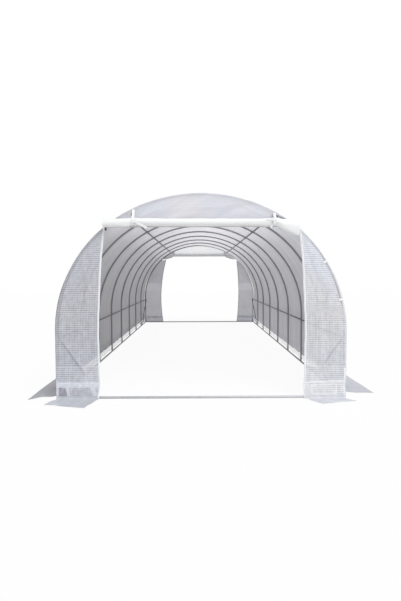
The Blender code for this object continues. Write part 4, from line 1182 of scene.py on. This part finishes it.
def makeStrap(name, side):
    # one loop of webbing from the top of the gable round the roll, with a stitched overlap and two tails
    end = ends[name]
    turn = end["turn"]
    x, top = end["straps"][side]
    size = float(rollSize(name, np.array(x))) + strapCut["gap"]
    low = (rollCut["out"], float(rollMiddle(name, np.array(x))))
    high = (endCut["face"] + strapCut["eyeOut"], top)
    inner, outer = (beltLine(low, size + extra, high, strapCut["eye"] + extra)
                    for extra in (0, strapCut["thick"]))
    edges = (-1, -0.6, 0, 0.6, 1)
    loops = [atEnd(turn, x + across * strapCut["wide"] / 2, line[:, 0], line[:, 1])
             for line, places in ((outer, edges), (inner, edges[::-1])) for across in places]
    nets = [net(np.array(loops), ringRows=True, ringColumns=True)]
    nets += [strapTail(name, line, size, low[0]) for line in strapTails[name, side]]
    centre = atEnd(turn, x, low[0] + size + strapCut["knotOut"], low[1] + strapCut["knotUp"])
    path = centre + np.array([[along, 0, 0] for along, _ in strapCut["knot"]])
    nets.append(tube(path, (0, 0.55, 0), (0, 0, 1), [radius for _, radius in strapCut["knot"]], around=12))
    place = sideInFrame(side, turn)
    strap = buildPiece(f"{name}_strap_webbing_{place}", nets, webbing)
    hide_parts(f"{name}_strap_{place}")
    tuple(atEnd(turn, x, endCut["face"] + 0.003, top))
    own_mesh(strap)


zipCut = dict(tape=0.019, coil=0.0026, bulge=0.0022, lift=0.0008, foot=0.012, stations=180)


def makeZip(name, side):
    # a crowned tape along the panel's inner edge, with the coil as a half round down its middle
    end = ends[name]
    turn, hand = end["turn"], handOf[side]
    top = end["zips"][side][0][1]
    z = np.linspace(zipCut["foot"], top, zipCut["stations"])[:, None]
    sway = 0.0016 * np.sin(9.0 * z + 1.3) + 0.0008 * np.sin(31 * z)
    middle = zipX(end["zips"][side], np.maximum(z, groundZ)) - 0.001
    across = np.linspace(-1, 1, 11)[None, :]
    face = endCut["face"] + zipCut["lift"]
    out = face + zipCut["bulge"] * (1 - across**2) + 0.3 * sway * (1 - np.abs(across))
    tape = net(atEnd(turn, hand * (middle + sway + across * zipCut["tape"] / 2), out, z), flip=hand < 0)
    half = np.linspace(0, math.pi, 9)[None, :]
    coilOut = face + zipCut["bulge"] + 0.3 * sway + zipCut["coil"] * 0.8 * np.sin(half)
    coil = net(atEnd(turn, hand * (middle + sway + zipCut["coil"] * np.cos(half)), coilOut, z), flip=hand > 0)
    place = sideInFrame(side, turn)
    tapePiece = buildSheet(f"{name}_zip_tape_{place}", [tape], zipTape)
    buildSheet(f"{name}_zip_coil_{place}", [coil], zipCoil)


sliderCut = dict(below=0.115, out=0.0158, square=0.6, thick=(0.0020, 0.0019),
                 shield=[(-0.008, 0.0046), (-0.004, 0.0056), (0.004, 0.0074), (0.013, 0.0080),
                         (0.019, 0.0072), (0.022, 0.0045)],
                 tab=[(0.004, 0.0022), (-0.002, 0.0034), (-0.010, 0.0030), (-0.026, 0.0034), (-0.034, 0.0038),
                      (-0.0365, 0.0018)],
                 tabOut=0.0050, tabThick=0.0009, tabLean=0.0006,
                 bridge=dict(out=0.0034, up=0.006, rise=0.0021, half=0.0065, radius=0.0011))


def makeSlider(name, side):
    # a domed shield that narrows to its mouth, a bridge over it and a pull tab that hangs from the bridge
    end = ends[name]
    turn, hand = end["turn"], handOf[side]
    z0 = end["zips"][side][0][1] - sliderCut["below"]
    x0 = hand * float(zipX(end["zips"][side], z0))
    base = sliderCut["out"]
    shield, tab = np.array(sliderCut["shield"]), np.array(sliderCut["tab"])
    angle = np.linspace(0, 2 * math.pi, 17)[:-1][None, :]
    squared = [np.sign(wave) * np.abs(wave) ** sliderCut["square"] for wave in (np.cos(angle), np.sin(angle))]
    middle, half = sliderCut["thick"]
    body = atEnd(turn, x0 + shield[:, 1:] * squared[0], base + middle + half * squared[1], z0 + shield[:, :1])
    arc, bridge = np.linspace(0, math.pi, 9), sliderCut["bridge"]
    path = atEnd(turn, x0, base + bridge["out"] + bridge["rise"] * np.sin(arc),
                 z0 + bridge["up"] + bridge["half"] * np.cos(arc))
    leaning = sliderCut["tabLean"] * np.linspace(0, 1, len(tab))[:, None]
    tabOut = base + sliderCut["tabOut"] + sliderCut["tabThick"] * np.sin(angle) - leaning
    pull = atEnd(turn, x0 + tab[:, 1:] * np.cos(angle), tabOut, z0 + tab[:, :1])
    nets = [net(body, ringColumns=True, caps=True),
            tube(path, (1, 0, 0), (0, 0, 1), bridge["radius"], around=8),
            net(pull, ringColumns=True, caps=True)]
    place = sideInFrame(side, turn)
    slider = buildPiece(f"{name}_slider_{place}", nets, whitePlastic, f"{name}_zip_{place}")
    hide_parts(f"{name}_zip_slider_{place}")


# Slots and the shadow strip are flattened tubes, given by their middle line's start and run; caps are lathe
# shapes
smallCut = dict(slots=[(-0.7075, 0.003, 1.891, 0.036), (0.7800, -0.003, 1.868, 0.030)], slotOut=0.0185,
                slot=0.0070, eyelet=[(0.0, 0.0115), (0.0014, 0.0120), (0.0036, 0.0105), (0.0054, 0.0070),
                                     (0.0060, 0.0016)],
                eyeletPlace=(0.02, 0.0178, -0.036),
                shadowCap=[(0, 0.0118), (0.002, 0.0122), (0.006, 0.0102), (0.008, 0.006), (0.0085, 0.002)],
                shadowCapPlace=(-0.972, 0.0165, 1.755),
                shadowStrip=(0.788, 0.090, 1.892, -0.042), shadowStripOut=0.0190, shadowStripSize=0.0075,
                tabHeights=(1.425, 1.032), tabRows=(-0.013, -0.008, 0, 0.008, 0.013), tabIn=0.030,
                tabRise=0.0465, tabHalf=0.0175, tabThick=0.0014)


def taperedTube(line, out, flat, across, size):
    # a flattened tube on the front end, given by where its middle line starts and how far it runs
    share = np.linspace(0, 1, 14)
    x, run, z, rise = line
    taper = np.sin(math.pi * (0.06 + 0.88 * share)) ** 0.4
    return tube(atEnd(1, x + run * share, out, z + rise * share), flat, across, size * taper, around=12)


def makeCaps():
    # dark slots in the front gable and eyelets in the rear one beside the straps; a dark cap where the door's
    # corner meets the hoop and a dark grey strip on the front gable right of its right strap, both painted
    # shadows
    nets = [taperedTube(line, smallCut["slotOut"], (0, 0.4, 0), (1, 0, 0), smallCut["slot"])
            for line in smallCut["slots"]]
    beside, out, above = smallCut["eyeletPlace"]
    for side, hand in handOf.items():
        x, top = ends["rear"]["straps"][side]
        nets.append(turned(atEnd(-1, x + beside * hand, out, top + above), (0, 1, 0), smallCut["eyelet"], 20))
    # painted shadow: a dark cap where the hoop shows in shade between the roll and the panel
    nets.append(turned(atEnd(1, *smallCut["shadowCapPlace"]), (0, -1, 0), smallCut["shadowCap"], 20))
    # painted shadow: a dark grey strip on the gable where its corner lies in shade
    flat, across = (0, 0.5, 0), (0.42, 0, 0.9)
    shadowStrip = taperedTube(smallCut["shadowStrip"], smallCut["shadowStripOut"], flat, across, smallCut["shadowStripSize"])
    buildPiece("gable_corner_shadow_strip", [shadowStrip], films["shadowStrip"])
    buildPiece("slots_eyelets_and_shadow_cap", nets, darkPlastic)


def makeTieTabs():
    # white tie tabs on the right front hoop: each a strip that comes out over the film and round the tube
    nets = []
    k = np.linspace(-1, 1, 25)
    rise = smallCut["tabRise"] * smooth((1 - np.abs(k)) * 1.6) - smallCut["tabIn"]
    for z in smallCut["tabHeights"]:
        s = float(np.interp(z, hoopLine(downOutline)[1][::-1], downOutline[::-1]))
        x, height, lean = (float(a) for a in hoopLine(np.array(s)))
        outward = np.array([math.sin(lean), 0, math.cos(lean)])
        along = np.array([math.cos(lean), 0, -math.sin(lean)])
        around = np.array([x, -halfLength, height]) + outward * rise[:, None]
        around = around + np.array([0, 1.0, 0]) * (smallCut["tabHalf"] * np.clip(k * 1.8, -1, 1))[:, None]
        nets.append(net([around + along * a for a in smallCut["tabRows"]]))
    tabs = buildSheet("rim_tie_tabs", nets, webbing)
    tabs.modifiers.new("thickness", "SOLIDIFY").thickness = smallCut["tabThick"]


for name in ends:
    makeRoll(name)
    makeHeader(name)
    for side in handOf:
        makeStrap(name, side)
        makeZip(name, side)
        makeSlider(name, side)
makeCaps()
makeTieTabs()
print("doors, straps and zips made")


# Floor, light and camera

stageLook = dict(floorSize=60.0, floorZ=-0.001, floorShade=0.86, floorWhite=0.93, ambient=0.58, keyPower=2.0,
                 keySpread=40.0, keyTurn=(40, 8, 20))


def seenDirectly(tree):
    # 1 for what the camera, a mirror or a window sees, 0 for the light that falls on things
    path = addNode(tree, "LightPath").outputs
    seen = calc(tree, "ADD", path["Is Camera Ray"], path["Is Glossy Ray"])
    return addNode(tree, "Math", {0: seen, 1: path["Is Transmission Ray"]}, operation="ADD",
                   use_clamp=True).outputs[0]


def makeFloor():
    # a matt floor for light and shadow that shows white where the camera sees it
    material, tree = startMaterial("white_floor")
    shade = stageLook["floorShade"]
    grain = ramp(tree, noise(tree, objectPlace(tree), 6.0, 3.0), [(0.3, shade - 0.01), (0.7, shade)])
    matt = addNode(tree, "BsdfDiffuse", {"Color": grain}).outputs[0]
    white = addNode(tree, "Emission", {"Color": (1, 1, 1, 1), "Strength": 1.0}).outputs[0]
    share = calc(tree, "MULTIPLY", seenDirectly(tree), stageLook["floorWhite"])
    finishMaterial(tree, addNode(tree, "MixShader", {0: share, 1: matt, 2: white}).outputs[0])
    half = stageLook["floorSize"] / 2
    corners = [[(x, y, stageLook["floorZ"]) for x in (-half, half)] for y in (-half, half)]
    buildSheet("floor", [net(corners)], material, body=None)


def makeWorld():
    # soft light from all round, with a white background where the camera sees it
    world = bpy.data.worlds.new("studio")
    world.use_nodes = True
    tree = world.node_tree
    tree.nodes.clear()
    sky = {"Color": (0.97, 0.985, 1.0, 1), "Strength": stageLook["ambient"]}
    soft = addNode(tree, "Background", sky).outputs[0]
    white = addNode(tree, "Background", {"Color": (1, 1, 1, 1), "Strength": 1.0}).outputs[0]
    mixed = addNode(tree, "MixShader", {0: seenDirectly(tree), 1: soft, 2: white}).outputs[0]
    addNode(tree, "OutputWorld", {"Surface": mixed})
    bpy.context.scene.world = world


def makeLamp():
    lamp = bpy.data.lights.new("key", "SUN")
    lamp.energy = stageLook["keyPower"]
    lamp.angle = math.radians(stageLook["keySpread"])
    key = bpy.data.objects.new("key", lamp)
    key.rotation_euler = [math.radians(a) for a in stageLook["keyTurn"]]
    bpy.context.scene.collection.objects.link(key)


photoCamera = dict(place=(-0.028, -8.780, 1.279), yaw=0.0049, pitch=-0.0531, roll=-0.0032, lens=27.71,
                   sensor=36.0, farthest=200.0)


def makeCamera():
    data = bpy.data.cameras.new("photo_camera")
    data.lens, data.sensor_width, data.clip_end = (photoCamera[key] for key in ("lens", "sensor", "farthest"))
    camera = bpy.data.objects.new("photo_camera", data)
    camera.location = photoCamera["place"]
    camera.rotation_euler = (math.pi / 2 + photoCamera["pitch"], -photoCamera["roll"], -photoCamera["yaw"])
    bpy.context.scene.collection.objects.link(camera)
    bpy.context.scene.camera = camera


makeFloor()
makeWorld()
makeLamp()
makeCamera()
bpy.context.scene.view_settings.view_transform = "Standard"

bpy.context.view_layer.update()
print("stage and camera made")
